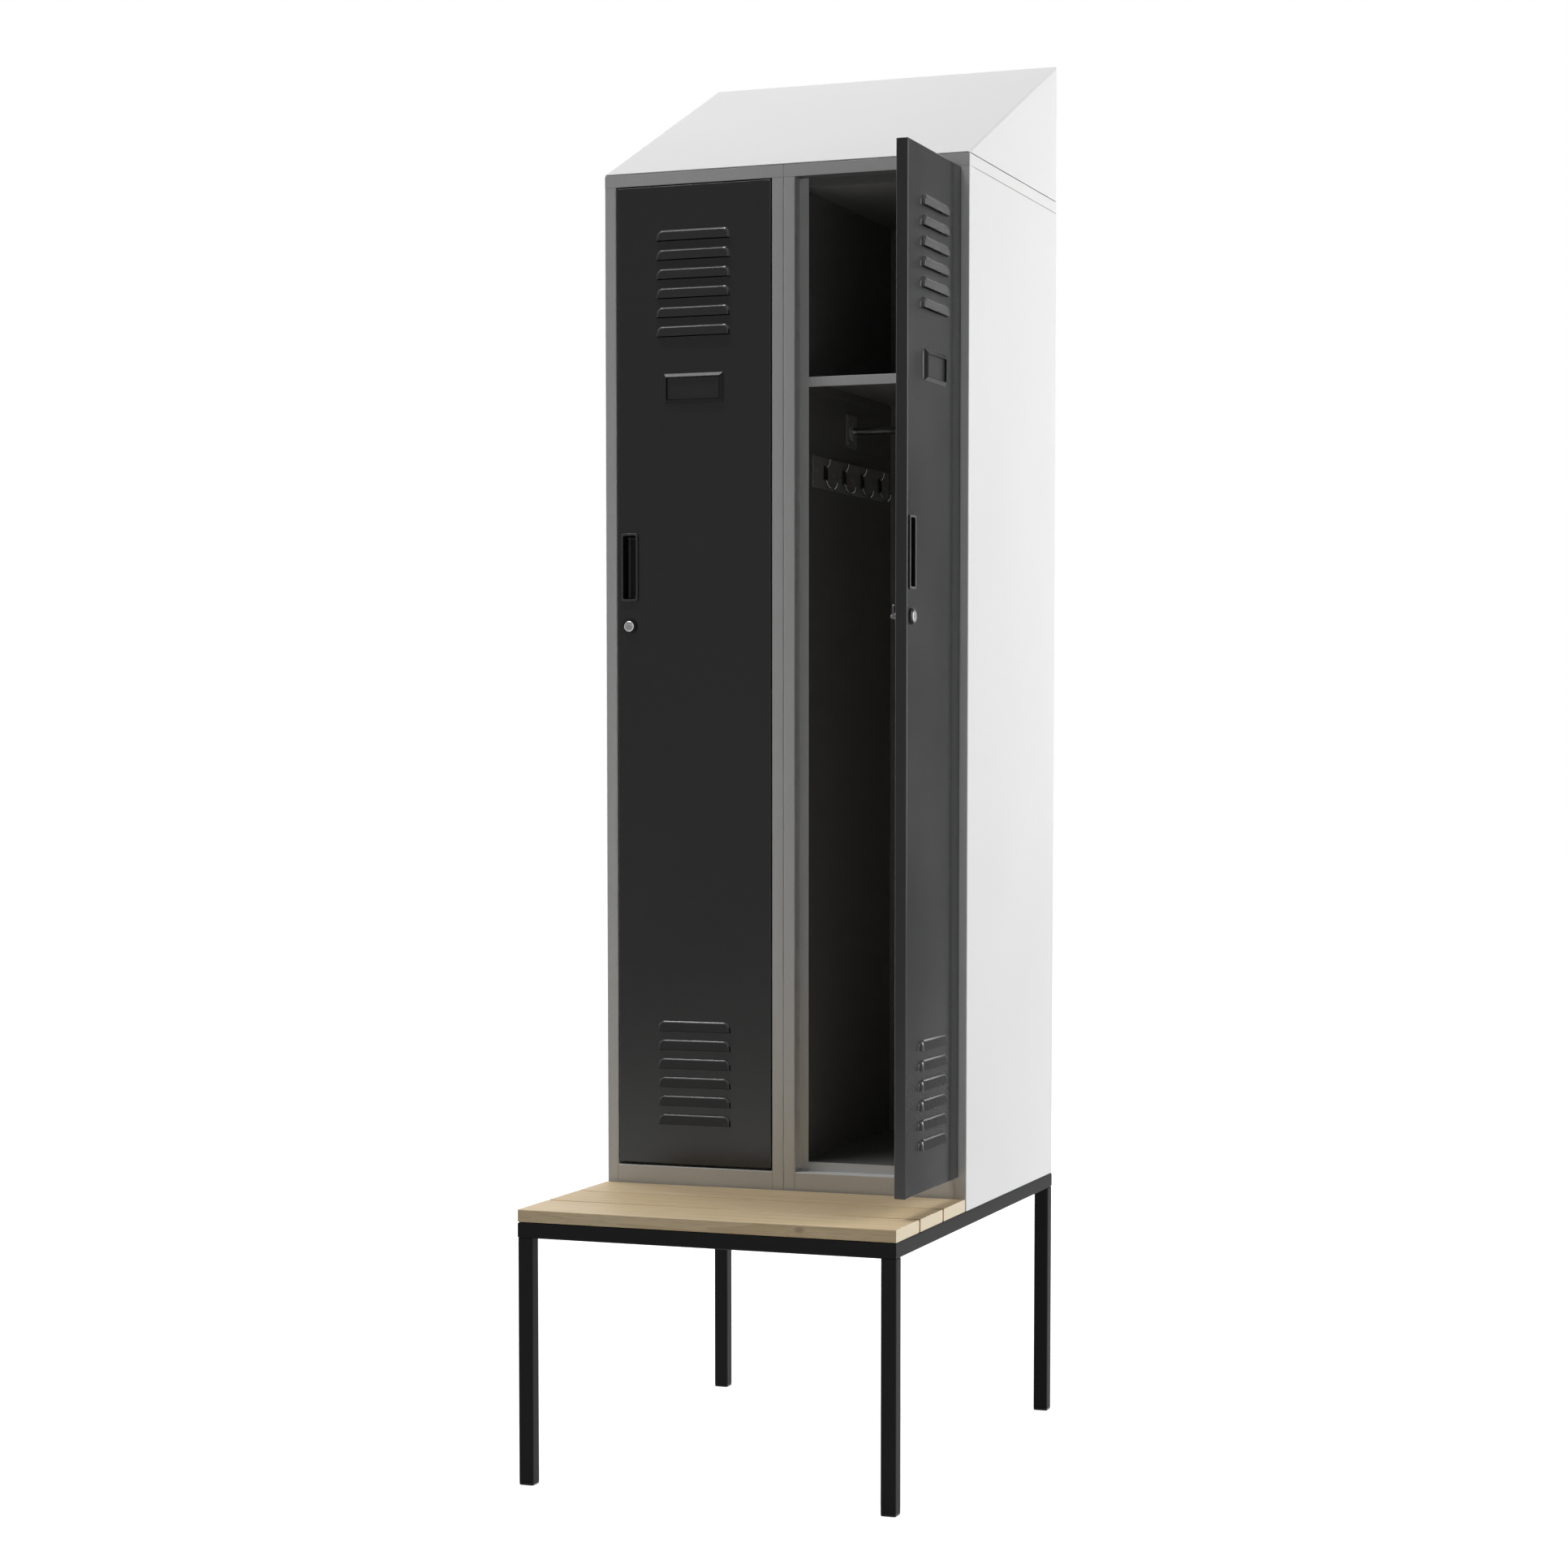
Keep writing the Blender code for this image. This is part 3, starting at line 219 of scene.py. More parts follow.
class Wire:
    """A shader socket that takes part in Python sums."""

    def __init__(self, graph, socket):
        self.graph = graph
        self.socket = socket

    __add__, __radd__ = maths("ADD"), maths("ADD", True)
    __sub__, __rsub__ = maths("SUBTRACT"), maths("SUBTRACT", True)
    __mul__, __rmul__ = maths("MULTIPLY"), maths("MULTIPLY", True)
    __truediv__, __pow__, __gt__ = maths("DIVIDE"), maths("POWER"), maths("GREATER_THAN")
    __abs__, floor = maths("ABSOLUTE"), maths("FLOOR")

    def smooth(self, low, high):
        """0 below low, 1 above high and an eased step between them."""
        return self.graph.node("ShaderNodeMapRange", {"interpolation_type": "SMOOTHSTEP"},
                               {"Value": self, "From Min": low, "From Max": high})


class Graph:
    """The node tree of a material or a world, filled one node at a time."""

    def __init__(self, owner):
        owner.use_nodes = True
        self.tree = owner.node_tree
        self.tree.nodes.clear()

    def node(self, kind, settings=None, values=None, out=0):
        """Adds a node, sets its settings, then its sockets' values or links, and returns one output."""
        made = self.tree.nodes.new(kind)
        for name, setting in (settings or {}).items():
            setattr(made, name, setting)
        for key, value in (values or {}).items():
            socket = made.inputs[key]
            if isinstance(value, Wire):
                self.tree.links.new(value.socket, socket)
            elif socket.type == "RGBA" and len(value) == 3:
                socket.default_value = (*value, 1.0)
            else:
                socket.default_value = value
        return Wire(self, made.outputs[out]) if made.outputs else None

    def place(self):
        return self.node("ShaderNodeTexCoord", out="Object")

    def split(self, vector):
        parts = self.node("ShaderNodeSeparateXYZ", values={0: vector}).socket.node
        return [Wire(self, output) for output in parts.outputs]

    def join(self, x, y, z):
        return self.node("ShaderNodeCombineXYZ", values={0: x, 1: y, 2: z})

    def noise(self, vector, scale, detail=2.0, roughness=0.5):
        return self.node("ShaderNodeTexNoise", values={"Vector": vector, "Scale": scale, "Detail": detail,
                                                       "Roughness": roughness})

    def colour(self, factor, first, second):
        """Mixes two colours."""
        return self.node("ShaderNodeMix", {"data_type": "RGBA"}, {0: factor, 6: first, 7: second}, 2)

    def mix(self, factor, first, second):
        """Mixes two shaders."""
        return self.node("ShaderNodeMixShader", values={0: factor, 1: first, 2: second})

    def white(self, kind, strength):
        return self.node(kind, values={"Color": (1.0, 1.0, 1.0), "Strength": strength})

    def bump(self, height, distance, strength):
        return self.node("ShaderNodeBump", values={"Strength": strength, "Distance": distance,
                                                   "Height": height})

    def end(self, shader, kind="ShaderNodeOutputMaterial"):
        self.node(kind, values={"Surface": shader})

    def surface(self, **values):
        """Ends a material in a Principled shader; underscores in the names stand for spaces."""
        self.end(self.node("ShaderNodeBsdfPrincipled",
                           values={name.replace("_", " "): value for name, value in values.items()}))


def new_material(name):
    made = bpy.data.materials.new(name)
    return made, Graph(made)


def shade(colour, factor):
    return tuple(min(1.0, part * factor) for part in colour)


def powder_coat(name, colour, roughness, gloss):
    """Sprayed and baked paint: a fine orange peel and a faint unevenness from panel to panel."""
    made, graph = new_material(name)
    place = graph.place()
    broad = graph.noise(place, 3.1, 3.0)
    peel = graph.noise(place, 640.0, 2.0, 0.55)
    tone = graph.colour(broad, shade(colour, 0.965), shade(colour, 1.035))
    speck = graph.noise(place, 2100.0, 1.0)
    tone = graph.colour(speck.smooth(0.62, 0.75) * 0.35, tone, shade(colour, 1.18))
    graph.surface(Base_Color=tone, Roughness=roughness + (broad - 0.5) * 0.10 + (peel - 0.5) * 0.12,
                  Specular_IOR_Level=gloss, Normal=graph.bump(peel, 0.00006, 0.55))
    return made


def lacquered_wood(name, colours):
    """Pale lengthwise planks: streaks, growth rings, pores, a knot and sawn ends."""
    made, graph = new_material(name)
    place = graph.place()
    x, y, z = graph.split(place)
    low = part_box("front_slat")[0]
    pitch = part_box("middle_slat")[0].y - low.y
    plank = ((y - low.y) / pitch).floor()
    luck = graph.node("ShaderNodeTexWhiteNoise", {"noise_dimensions": "1D"}, {"W": plank + 3.0})
    lean = graph.noise(graph.join(x * 1.1 + plank * 7.3, y * 3.0, z * 3.0), 1.6, 2.0)

    # the knot bends the grain round itself
    knot_x, knot_y, knot_z = (x - KNOT[0]) / 0.011, (y - low.y) / 0.020, (z - KNOT[1]) / 0.0065
    from_knot = (knot_x * knot_x + knot_y * knot_y + knot_z * knot_z) ** 0.5
    push = 1.0 - from_knot.smooth(0.2, 3.0)
    grain_y = y + (lean - 0.5) * 0.030 + push * (knot_z * 0.004)
    along = x + plank * 1.7 + luck * 3.0

    streak = graph.noise(graph.join(along * 1.3, grain_y * 46.0, z * 46.0), 3.0, 7.0, 0.62)
    ring_place = graph.join(along * 0.55, grain_y * 6.5 + luck * 2.0, z * 6.5)
    bands = {"wave_type": "BANDS", "bands_direction": "Y", "wave_profile": "SAW"}
    ring = graph.node("ShaderNodeTexWave", bands, {
        "Vector": ring_place, "Scale": 2.3, "Distortion": 5.5, "Detail": 3.0, "Detail Scale": 1.4,
        "Detail Roughness": 0.6}, "Fac")
    pore = graph.noise(graph.join(along * 22.0, grain_y * 900.0, z * 900.0), 1.0, 2.0)
    ray = graph.noise(graph.join(along * 60.0, grain_y * 260.0, z * 260.0), 1.0, 1.0)
    tone = streak * 0.62 + ring * 0.22 + ray * 0.16 + (luck - 0.5) * 0.12
    wood = graph.colour(tone.smooth(0.25, 0.78), colours.wood_dark, colours.wood_light)
    wood = graph.colour(pore.smooth(0.56, 0.70) * 0.40, wood, shade(colours.wood_dark, 0.55))
    heart = 1.0 - from_knot.smooth(0.25, 1.1)
    wood = graph.colour(heart * 0.55, wood, shade(colours.wood_dark, 0.42))

    normal_x = graph.split(graph.node("ShaderNodeTexCoord", out="Normal"))[0]
    sawn = abs(normal_x) > 0.7
    arcs = graph.node("ShaderNodeTexWave", {"wave_type": "RINGS", "rings_direction": "X"},
                      {"Vector": graph.join(0.0, y - luck * 0.08, z - low.z + 0.05), "Scale": 120.0,
                       "Distortion": 1.2, "Detail": 2.0, "Detail Scale": 1.5}, "Fac")
    cut = graph.colour(arcs * 0.5 + graph.noise(place, 700.0) * 0.4, colours.end_grain,
                       shade(colours.end_grain, 0.70))
    rough = 0.44 + (1.0 - tone) * 0.12 + sawn * 0.15
    height = tone * 0.4 - pore.smooth(0.58, 0.72) * 0.6
    graph.surface(Base_Color=graph.colour(sawn, wood, cut), Roughness=rough, Specular_IOR_Level=0.4,
                  Normal=graph.bump(height, 0.00008, 0.6))
    return made


def moulded_plastic(name, colour, roughness, gloss):
    """Matte moulded plastic with a fine eroded grain."""
    made, graph = new_material(name)
    place = graph.place()
    grain = graph.noise(place, 1500.0, 3.0, 0.6)
    broad = graph.noise(place, 9.0, 2.0)
    graph.surface(Base_Color=graph.colour(broad, shade(colour, 0.9), shade(colour, 1.12)),
                  Roughness=roughness + (grain - 0.5) * 0.18, Specular_IOR_Level=gloss,
                  Normal=graph.bump(grain, 0.00004, 0.6))
    return made


def plated_steel(name, colour, roughness, mottle, scratch_axis, depth=0.14):
    """Plated metal: mottling of a given depth and hairlines along one axis."""
    made, graph = new_material(name)
    place = graph.place()
    cloud = graph.noise(place, mottle, 4.0, 0.6)
    stretch = [1400.0, 1400.0, 1400.0]
    stretch[scratch_axis] = 40.0
    hair = graph.noise(graph.node("ShaderNodeMapping", values={"Vector": place, "Scale": stretch}), 1.0)
    tone = graph.colour(cloud.smooth(0.30, 0.70), shade(colour, 1.0 - depth),
                        shade(colour, 1.0 + depth * 0.6))
    rough = roughness + (cloud - 0.5) * 0.10 + (hair - 0.5) * 0.10
    graph.surface(Base_Color=tone, Metallic=1.0, Roughness=rough, Normal=graph.bump(hair, 0.00001, 0.5))
    return made


MATERIALS = {}


def make_materials(colours):
    """Makes every finish, once the first piece needs one."""
    for finish, name, colour, roughness, gloss in (
            ("light_paint", "light_powder_coat", colours.light, 0.46, 0.35),
            ("dark_paint", "inside_powder_coat", colours.dark, 0.50, 0.25),
            ("rear_paint_and_painted_shade", "rear_powder_coat_and_painted_shade", colours.back, 0.50, 0.25),
            ("door_paint", "door_powder_coat", colours.door, 0.20, 0.50),
            ("fitting_paint", "fitting_powder_coat", colours.fitting, 0.36, 0.40),
            ("frame_paint", "underframe_powder_coat", colours.underframe, 0.50, 0.06)):
        MATERIALS[finish] = powder_coat(name, tuple(colour), roughness, gloss)
    MATERIALS.update({
        "oak": lacquered_wood("lacquered_slat_wood", colours),
        "chrome": plated_steel("bright_chrome", (0.50, 0.50, 0.51), 0.07, 30.0, 0),
        "hook_steel": plated_steel("hook_plating", (0.27, 0.27, 0.28), 0.26, 60.0, 2),
        "dark_steel": plated_steel("blackened_steel", (0.10, 0.10, 0.105), 0.42, 90.0, 0),
        "lock_steel": plated_steel("nickel_lock", (0.55, 0.55, 0.56), 0.30, 420.0, 0, 0.40),
        "hinge_steel": plated_steel("zinc_hinge", (0.52, 0.53, 0.54), 0.36, 60.0, 2),
        # a lighter plastic for the grip's rim, as painted light
        "grip_rim_painted_light": moulded_plastic("grip_rim_plastic_painted_light", (0.060, 0.060, 0.061), 0.40, 0.40),
        "label_plastic": moulded_plastic("glossy_label_plastic", (0.005, 0.005, 0.0055), 0.22, 0.14),
        "black_plastic": moulded_plastic("grained_black_plastic", (0.009, 0.009, 0.0095), 0.28, 0.20),
    })


def linked(name, data):
    """Adds an object to the scene."""
    made = bpy.data.objects.new(name, data)
    bpy.context.scene.collection.objects.link(made)
    return made


def evaluated(made):
    """The mesh that an object ends as; the object goes."""
    mesh = bpy.data.meshes.new_from_object(made.evaluated_get(bpy.context.evaluated_depsgraph_get()))
    bpy.data.objects.remove(made)
    return mesh


def whole(bm):
    return bm.faces[:] + bm.edges[:] + bm.verts[:]


def cut_away(bm, spot, normal):
    """Takes off what lies past a plane."""
    bmesh.ops.bisect_plane(bm, geom=whole(bm), dist=1e-7, plane_co=spot, plane_no=normal, clear_outer=True)


def only(geometry, kind):
    return [item for item in geometry if isinstance(item, kind)]


def gathered(meshes):
    """Puts several meshes into one bmesh."""
    bm = bmesh.new()
    for mesh in meshes:
        bm.from_mesh(mesh)
    return bm


def finished(bm):
    """Turns a bmesh into a mesh whose faces point out."""
    bmesh.ops.recalc_face_normals(bm, faces=bm.faces)
    mesh = bpy.data.meshes.new("piece")
    bm.to_mesh(mesh)
    bm.free()
    return mesh


def joined(meshes):
    return finished(gathered(meshes))


def moved(mesh, matrix):
    copy = mesh.copy()
    copy.transform(matrix)
    return copy


def look(bm, face, way):
    """Turns all faces the way round that makes one of them look a given way."""
    bmesh.ops.recalc_face_normals(bm, faces=bm.faces)
    if face.normal.dot(Vector(way)) < 0:
        bmesh.ops.reverse_faces(bm, faces=bm.faces)


def solidified(bm, thickness=SHEET):
    bmesh.ops.solidify(bm, geom=whole(bm), thickness=thickness)
    return finished(bm)


def two_tone(mesh, chosen):
    """Gives the chosen faces the second of a piece's finishes."""
    for face in mesh.polygons:
        face.material_index = int(chosen(face.center))
    return mesh


def bevel(bm, geometry, offset, steps, affect="EDGES"):
    bmesh.ops.bevel(bm, geom=geometry, offset=offset, offset_type="OFFSET", segments=steps, profile=0.5,
                    affect=affect, material=-1)


def combined(base, tool, operation="UNION"):
    """Joins a tool mesh to a base mesh, or cuts it from it."""
    base, tool = linked("base", base), linked("tool", tool)
    change = base.modifiers.new("change", "BOOLEAN")
    change.operation = operation
    change.solver = "EXACT"
    change.object = tool
    result = evaluated(base)
    bpy.data.objects.remove(tool)
    bm = gathered([result])
    bmesh.ops.remove_doubles(bm, verts=bm.verts, dist=MERGE)
    bmesh.ops.dissolve_degenerate(bm, edges=bm.edges, dist=MERGE)
    bm.to_mesh(result)
    bm.free()
    return result


def block(low, high):
    """A bmesh box between two corners."""
    low, high = Vector(low), Vector(high)
    bm = bmesh.new()
    bmesh.ops.create_cube(bm, size=1.0)
    bmesh.ops.scale(bm, vec=high - low, verts=bm.verts)
    bmesh.ops.translate(bm, vec=(low + high) / 2, verts=bm.verts)
    return bm


def brick(low, high, radius=0.0, steps=3, which=None):
    """A box between two corners with its edges, or the chosen ones, rounded."""
    bm = block(low, high)
    if radius > 0:
        bevel(bm, [edge for edge in bm.edges if which is None or which(edge)], radius, steps)
    return finished(bm)


def sheet_tray(low, high, open_side, radius, steps, flange=0.0):
    """A box of sheet with one side open; a flange leaves a folded border round the opening."""
    axis, sign = "xyz".index(open_side[1]), -1 if open_side[0] == "-" else 1
    bm = block(low, high)
    lid = max(bm.faces, key=lambda face: face.normal[axis] * sign)
    if flange > 0:
        bmesh.ops.inset_region(bm, faces=[lid], thickness=flange)
    bmesh.ops.delete(bm, geom=[lid], context="FACES_ONLY")
    first = bm.faces[:][0]
    look(bm, first, first.calc_center_median() - (Vector(low) + Vector(high)) / 2)
    folds = [e for e in bm.edges if len(e.link_faces) == 2 and e.calc_face_angle(0.0) > 1.0]
    bevel(bm, folds, radius, steps)
    return solidified(bm)


def folded_sheet(path, axis, low, high, seen, radius, steps, thickness=SHEET):
    """A sheet folded along a path of its visible face; seen is the way its first stretch faces."""
    order = {"x": (2, 0, 1), "z": (0, 1, 2)}[axis]
    bm = bmesh.new()
    verts = [bm.verts.new([(*point, low)[i] for i in order]) for point in path]
    edges = [bm.edges.new(pair) for pair in zip(verts, verts[1:])]
    grown = bmesh.ops.extrude_edge_only(bm, edges=edges)["geom"]
    step = Vector((0, 0, 0))
    step["xyz".index(axis)] = high - low
    bmesh.ops.translate(bm, vec=step, verts=only(grown, bmesh.types.BMVert))
    start = (verts[0].co + verts[1].co + step) / 2
    look(bm, min(bm.faces, key=lambda face: (face.calc_center_median() - start).length), seen)
    for convex in (True, False):
        folds = [e for e in bm.edges if len(e.link_faces) == 2 and abs(e.calc_face_angle_signed(0.0)) > 1.0
                 and (e.calc_face_angle_signed(0.0) > 0) == convex]
        if folds:
            bevel(bm, folds, radius if convex else radius - thickness, steps)
    return solidified(bm, thickness)


def square_face():
    """A bmesh with one face from -1 to 1 in the X-Y plane, facing up."""
    bm = bmesh.new()
    bmesh.ops.create_grid(bm, x_segments=1, y_segments=1, size=1.0)
    return bm


def grow(bm, face, levels, size):
    """Extrudes a face through (half width, half height, level) steps, scaled about the Z axis."""
    for i, (half_width, half_height, level) in enumerate(levels):
        below = face
        face = only(bmesh.ops.extrude_face_region(bm, geom=[below])["geom"], bmesh.types.BMFace)[0]
        if i > 0:
            bmesh.ops.delete(bm, geom=[below], context="FACES_ONLY")
        verts = face.verts[:]
        bmesh.ops.scale(bm, vec=(half_width / size[0], half_height / size[1], 1), verts=verts)
        bmesh.ops.translate(bm, vec=(0, 0, level - verts[0].co.z), verts=verts)
        size = (half_width, half_height)


def stacked(levels, corner, steps=6):
    """A closed solid through rounded rectangles, each (half width, half height, level)."""
    half_width, half_height, level = levels[0]
    bm = square_face()
    bmesh.ops.scale(bm, vec=(half_width, half_height, 1), verts=bm.verts)
    bevel(bm, bm.verts[:], corner, steps, "VERTICES")
    bmesh.ops.translate(bm, vec=(0, 0, level), verts=bm.verts)
    grow(bm, bm.faces[:][0], levels[1:], (half_width, half_height))
    return finished(bm)


def square(levels):
    """Levels of a square solid from (half width, level) pairs."""
    return [(half, half, level) for half, level in levels]


def turned(profile, steps=TURN_STEPS, closed=False):
    """Spins a profile of (radius, level) points about the Z axis."""
    bm = bmesh.new()
    verts = [bm.verts.new((radius, 0, level)) for radius, level in profile]
    pairs = list(zip(verts, verts[1:])) + ([(verts[-1], verts[0])] if closed else [])
    edges = [bm.edges.new(pair) for pair in pairs]
    bmesh.ops.spin(bm, geom=edges + verts, cent=(0, 0, 0), axis=(0, 0, 1), angle=2 * math.pi, steps=steps,
                   use_merge=True)
    bmesh.ops.remove_doubles(bm, verts=bm.verts, dist=MERGE)
    return finished(bm)


def screw(radius, height):
    """Button head with a shallow round recess, standing on +Z."""
    return turned(((0, height * 0.35), (radius * 0.36, height * 0.35), (radius * 0.42, height),
                   (radius * 0.62, height * 0.97), (radius * 0.86, height * 0.72), (radius, height * 0.3),
                   (radius, 0), (0, 0)), 18)


# Turns of a shape that stands on +Z: out of the door's face, out of either side wall, and down
OUT_OF_DOOR = Matrix(((1, 0, 0, 0), (0, 0, -1, 0), (0, 1, 0, 0), (0, 0, 0, 1)))
OUT_OF_LEFT_WALL = Matrix(((0, 0, 1, 0), (1, 0, 0, 0), (0, 1, 0, 0), (0, 0, 0, 1)))
OUT_OF_RIGHT_WALL = Matrix(((0, 0, -1, 0), (-1, 0, 0, 0), (0, 1, 0, 0), (0, 0, 0, 1)))
DOWN = Matrix.Rotation(math.pi, 4, "X")
MIRROR = Matrix.Translation((MODULE, 0, 0)) @ Matrix.Scale(-1, 4, (1, 0, 0))


def at(u, depth, height):
    return Matrix.Translation((u, depth, height))


def mirrored(mesh):
    """The same shape mirrored across the middle of the module."""
    return joined([moved(mesh, MIRROR)])


def on_module(side):
    return at(MODULE_LEFT[side], CABINET_FRONT, BASE)


def on_door(side):
    """Module coordinates of a closed door, turned about its hinge rod to where it stands."""
    pivot = Vector((PIVOT_U, PIVOT_DEPTH, 0))
    turn = Matrix.Rotation(OPEN_ANGLE[side], 4, "Z")
    return on_module(side) @ at(*pivot) @ turn @ at(*-pivot)


def piece(name, mesh, body, slot, nodes=(), place=Matrix(), finishes=None):
    """Adds a finished piece: its place goes into its mesh, and its object stays at the origin."""
    if not MATERIALS:
        make_materials(bpy.context.scene.locker_colours)
    mesh = moved(mesh, place)
    for finish in finishes or (slot,):
        mesh.materials.append(MATERIALS[finish])
    mesh.shade_smooth()
    mesh.set_sharp_from_angle(angle=SHARP)
    made = linked(name, mesh)
    made.modifiers.new("even shading", "WEIGHTED_NORMAL").keep_sharp = True
    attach(made, body)
    if nodes:
        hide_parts(*nodes)


def side_piece(side, name, mesh, slot, node=None, place=Matrix(), finishes=None, moving=None):
    """Adds a piece of one module; a piece that moves has its place on the closed door."""
    body, origin = (side + moving, on_door(side)) if moving else ("carcass", on_module(side))
    piece(side + name, mesh, body, slot, [side + node] if node else (), origin @ place, finishes)


def square_tube(low, high, axis, corner, mitred=False):
    """Square tube along an axis between two box corners, mitred so that its outer side stays longest."""
    middle, half = (low + high) / 2, (high - low) / 2
    across = [i for i in range(3) if i != axis]
    section = (half[across[0]], half[across[1]])
    turn = Matrix([[float(i == j) for j in (*across, axis)] for i in range(3)]).to_4x4()
    mesh = stacked([(*section, -half[axis]), (*section, half[axis])], corner)
    bm = gathered([moved(mesh, at(*middle) @ turn)])
    if mitred:
        other = across[0]
        outward = math.copysign(1.0, middle[other])
        for end in (-1, 1):
            spot, normal = middle.copy(), Vector((0, 0, 0))
            spot[axis] += end * half[axis]
            spot[other] += outward * half[other]
            normal[axis], normal[other] = end, -outward
            cut_away(bm, spot, normal)
            bmesh.ops.holes_fill(bm, edges=[e for e in bm.edges if len(e.link_faces) == 1])
    return finished(bm)


def tube_piece(node, mesh, place=Matrix()):
    piece(node + "_tube", mesh, "carcass", "frame_paint", [node], place)


class LOCKER_OT_underframe(bpy.types.Operator):
    """Models the welded square-tube frame, its legs and their plastic plugs"""

    bl_idname = "locker.underframe"
    bl_label = "Underframe"

    def execute(self, context):
        corner = context.scene.locker_sizes.tube_corner
        for node, axis in (("front_rail", 0), ("rear_rail", 0), ("left_rail", 1), ("right_rail", 1)):
            low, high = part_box(node)
            low[axis], high[axis] = CAD_LOW[axis], CAD_HIGH[axis]
            tube_piece(node, square_tube(low, high, axis, corner, True))
        low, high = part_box("cross_rail")
        low.x, high.x = low.x - GAP, high.x + GAP
        tube_piece("cross_rail", square_tube(low, high, 0, corner))
        rail_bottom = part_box("front_rail")[0].z
        half = (high.z - low.z) / 2
        bore = half - 0.0015
        stem = bore - GAP
        plug = stacked(square((
            (half - 0.0015, 0.0), (half - 0.0005, 0.0004), (half, 0.0014), (half, 0.0034),
            (half - 0.0003, 0.004), (stem, 0.004), (stem, 0.0075), (stem - 0.0006, 0.0079),
            (stem - 0.0006, 0.0100), (stem, 0.0104), (stem, 0.0135), (stem - 0.0008, 0.019))), corner)
        for place in ("front_left", "front_right", "rear_left", "rear_right"):
            low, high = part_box(place + "_leg")
            centre = (low + high) / 2
            on_floor = at(centre.x, centre.y, 0)
            tube = square(((half, rail_bottom), (half, low.z), (bore, low.z), (bore, low.z + 0.024)))
            tube_piece(place + "_leg", stacked(tube, corner), on_floor)
            piece(place + "_foot_plug", plug, "carcass", "black_plastic", [place + "_foot"], on_floor)
        return {"FINISHED"}


class LOCKER_OT_bench(bpy.types.Operator):
    """Models the wooden slats and the screws that hold them from below"""

    bl_idname = "locker.bench"
    bl_label = "Bench slats"

    def execute(self, context):
        rounding = context.scene.locker_sizes.slat_edge
        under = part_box("left_rail")[0].z
        head = screw(0.0045, 0.0022)
        heads = []
        for place in ("front", "middle", "rear"):
            low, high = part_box(place + "_slat")
            bm = gathered([brick(low, high)])
            bmesh.ops.recalc_face_normals(bm, faces=bm.faces)
            long_edges = [e for e in bm.edges if abs((e.verts[0].co - e.verts[1].co).normalized().x) > 0.9]
            bevel(bm, long_edges, rounding, 6)
            ends = [e for e in bm.edges if len(e.link_faces) == 2
                    and sum(abs(f.normal.x) > 0.9 for f in e.link_faces) == 1]
            bevel(bm, ends, rounding * 0.35, 3)
            piece(place + "_slat_plank", finished(bm), "carcass", "oak", [place + "_slat"])
            middle = (low.x + high.x) / 2
            reach = (high.x - low.x) / 2 - 0.0125
            for x in (middle - reach, middle + reach):
                for share in (0.28, 0.72):
                    heads.append(moved(head, at(x, low.y + (high.y - low.y) * share, under) @ DOWN))
        piece("slat_screws", joined(heads), "carcass", "hinge_steel")
        return {"FINISHED"}


def top_cap(bend, steps):
    """Top cap whose underside and door stop take the dark rear paint as painted shade."""
    inset = 0.0006
    lip_side = STILE + LIP + GAP
    cap = sheet_tray((0, 0, CAP_BOTTOM + SEAM), (MODULE, DEPTH, SHELL_TOP), "-z", TRAY_FOLD, steps)
    ledge = brick((inset, inset, CAP_BOTTOM), (MODULE - inset, STOP_DEPTH + SHEET, CAP_BOTTOM + SHEET))
    stop = folded_sheet(((0.0004, CAP_BOTTOM), (STOP_DEPTH, CAP_BOTTOM), (STOP_DEPTH, CEILING)), "x",
                        lip_side, MODULE - lip_side, (0, 0, -1), bend, steps)
    # the underside and the door stop take the second, dark finish as painted shade
    return two_tone(combined(combined(cap, ledge), stop), lambda spot: spot.z < CAP_BOTTOM + 0.0002)


def bottom_rail(bend, steps):
    """Bottom rail, notched at the side walls' lips, with its upstand."""
    path = ((BOTTOM_FLANGE, 0), (0, 0), (0, RAIL_FACE), (STOP_DEPTH + SHEET, RAIL_FACE))
    rail = folded_sheet(path, "x", WALL, MODULE - WALL, (0, 0, -1), bend, steps)
    notch = brick((WALL - 0.004, STOP_DEPTH - GAP, RAIL_FACE - 0.004),
                  (WALL + LIP, STOP_DEPTH + 0.004, RAIL_FACE + 0.004))
    rail = combined(rail, joined([notch, mirrored(notch)]), "DIFFERENCE")
    upstand = brick((WALL + LIP, STOP_DEPTH, RAIL_FACE - SHEET / 2),
                    (MODULE - WALL - LIP, STOP_DEPTH + SHEET, FLOOR_TOP))
    return combined(rail, upstand)


def sloping_roof(fold):
    """The sloping roof: a wedge with round folds, cut level below and opened underneath."""
    low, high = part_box("sloping_roof")
    front_edge = 0.0015
    under = 0.02
    bm = block((low.x, low.y, -0.5), (high.x, high.y, 0.5))
    for vert in bm.verts:
        if vert.co.z < 0:
            vert.co.z = low.z - under
        elif vert.co.y < (low.y + high.y) / 2:
            vert.co.z = low.z + front_edge
        else:
            vert.co.z = CAP_HIGH.z + ROOF_RISE
    bmesh.ops.recalc_face_normals(bm, faces=bm.faces)
    folds = [e for e in bm.edges if max(v.co.z for v in e.verts) > low.z
             and max(v.co.y for v in e.verts) > low.y + fold]
    bevel(bm, folds, fold, 8)
    cut_away(bm, (0, 0, low.z + SEAM), (0, 0, -1))
    look(bm, max(bm.faces, key=lambda face: face.calc_area()), (0, 0, 1))
    return solidified(bm)


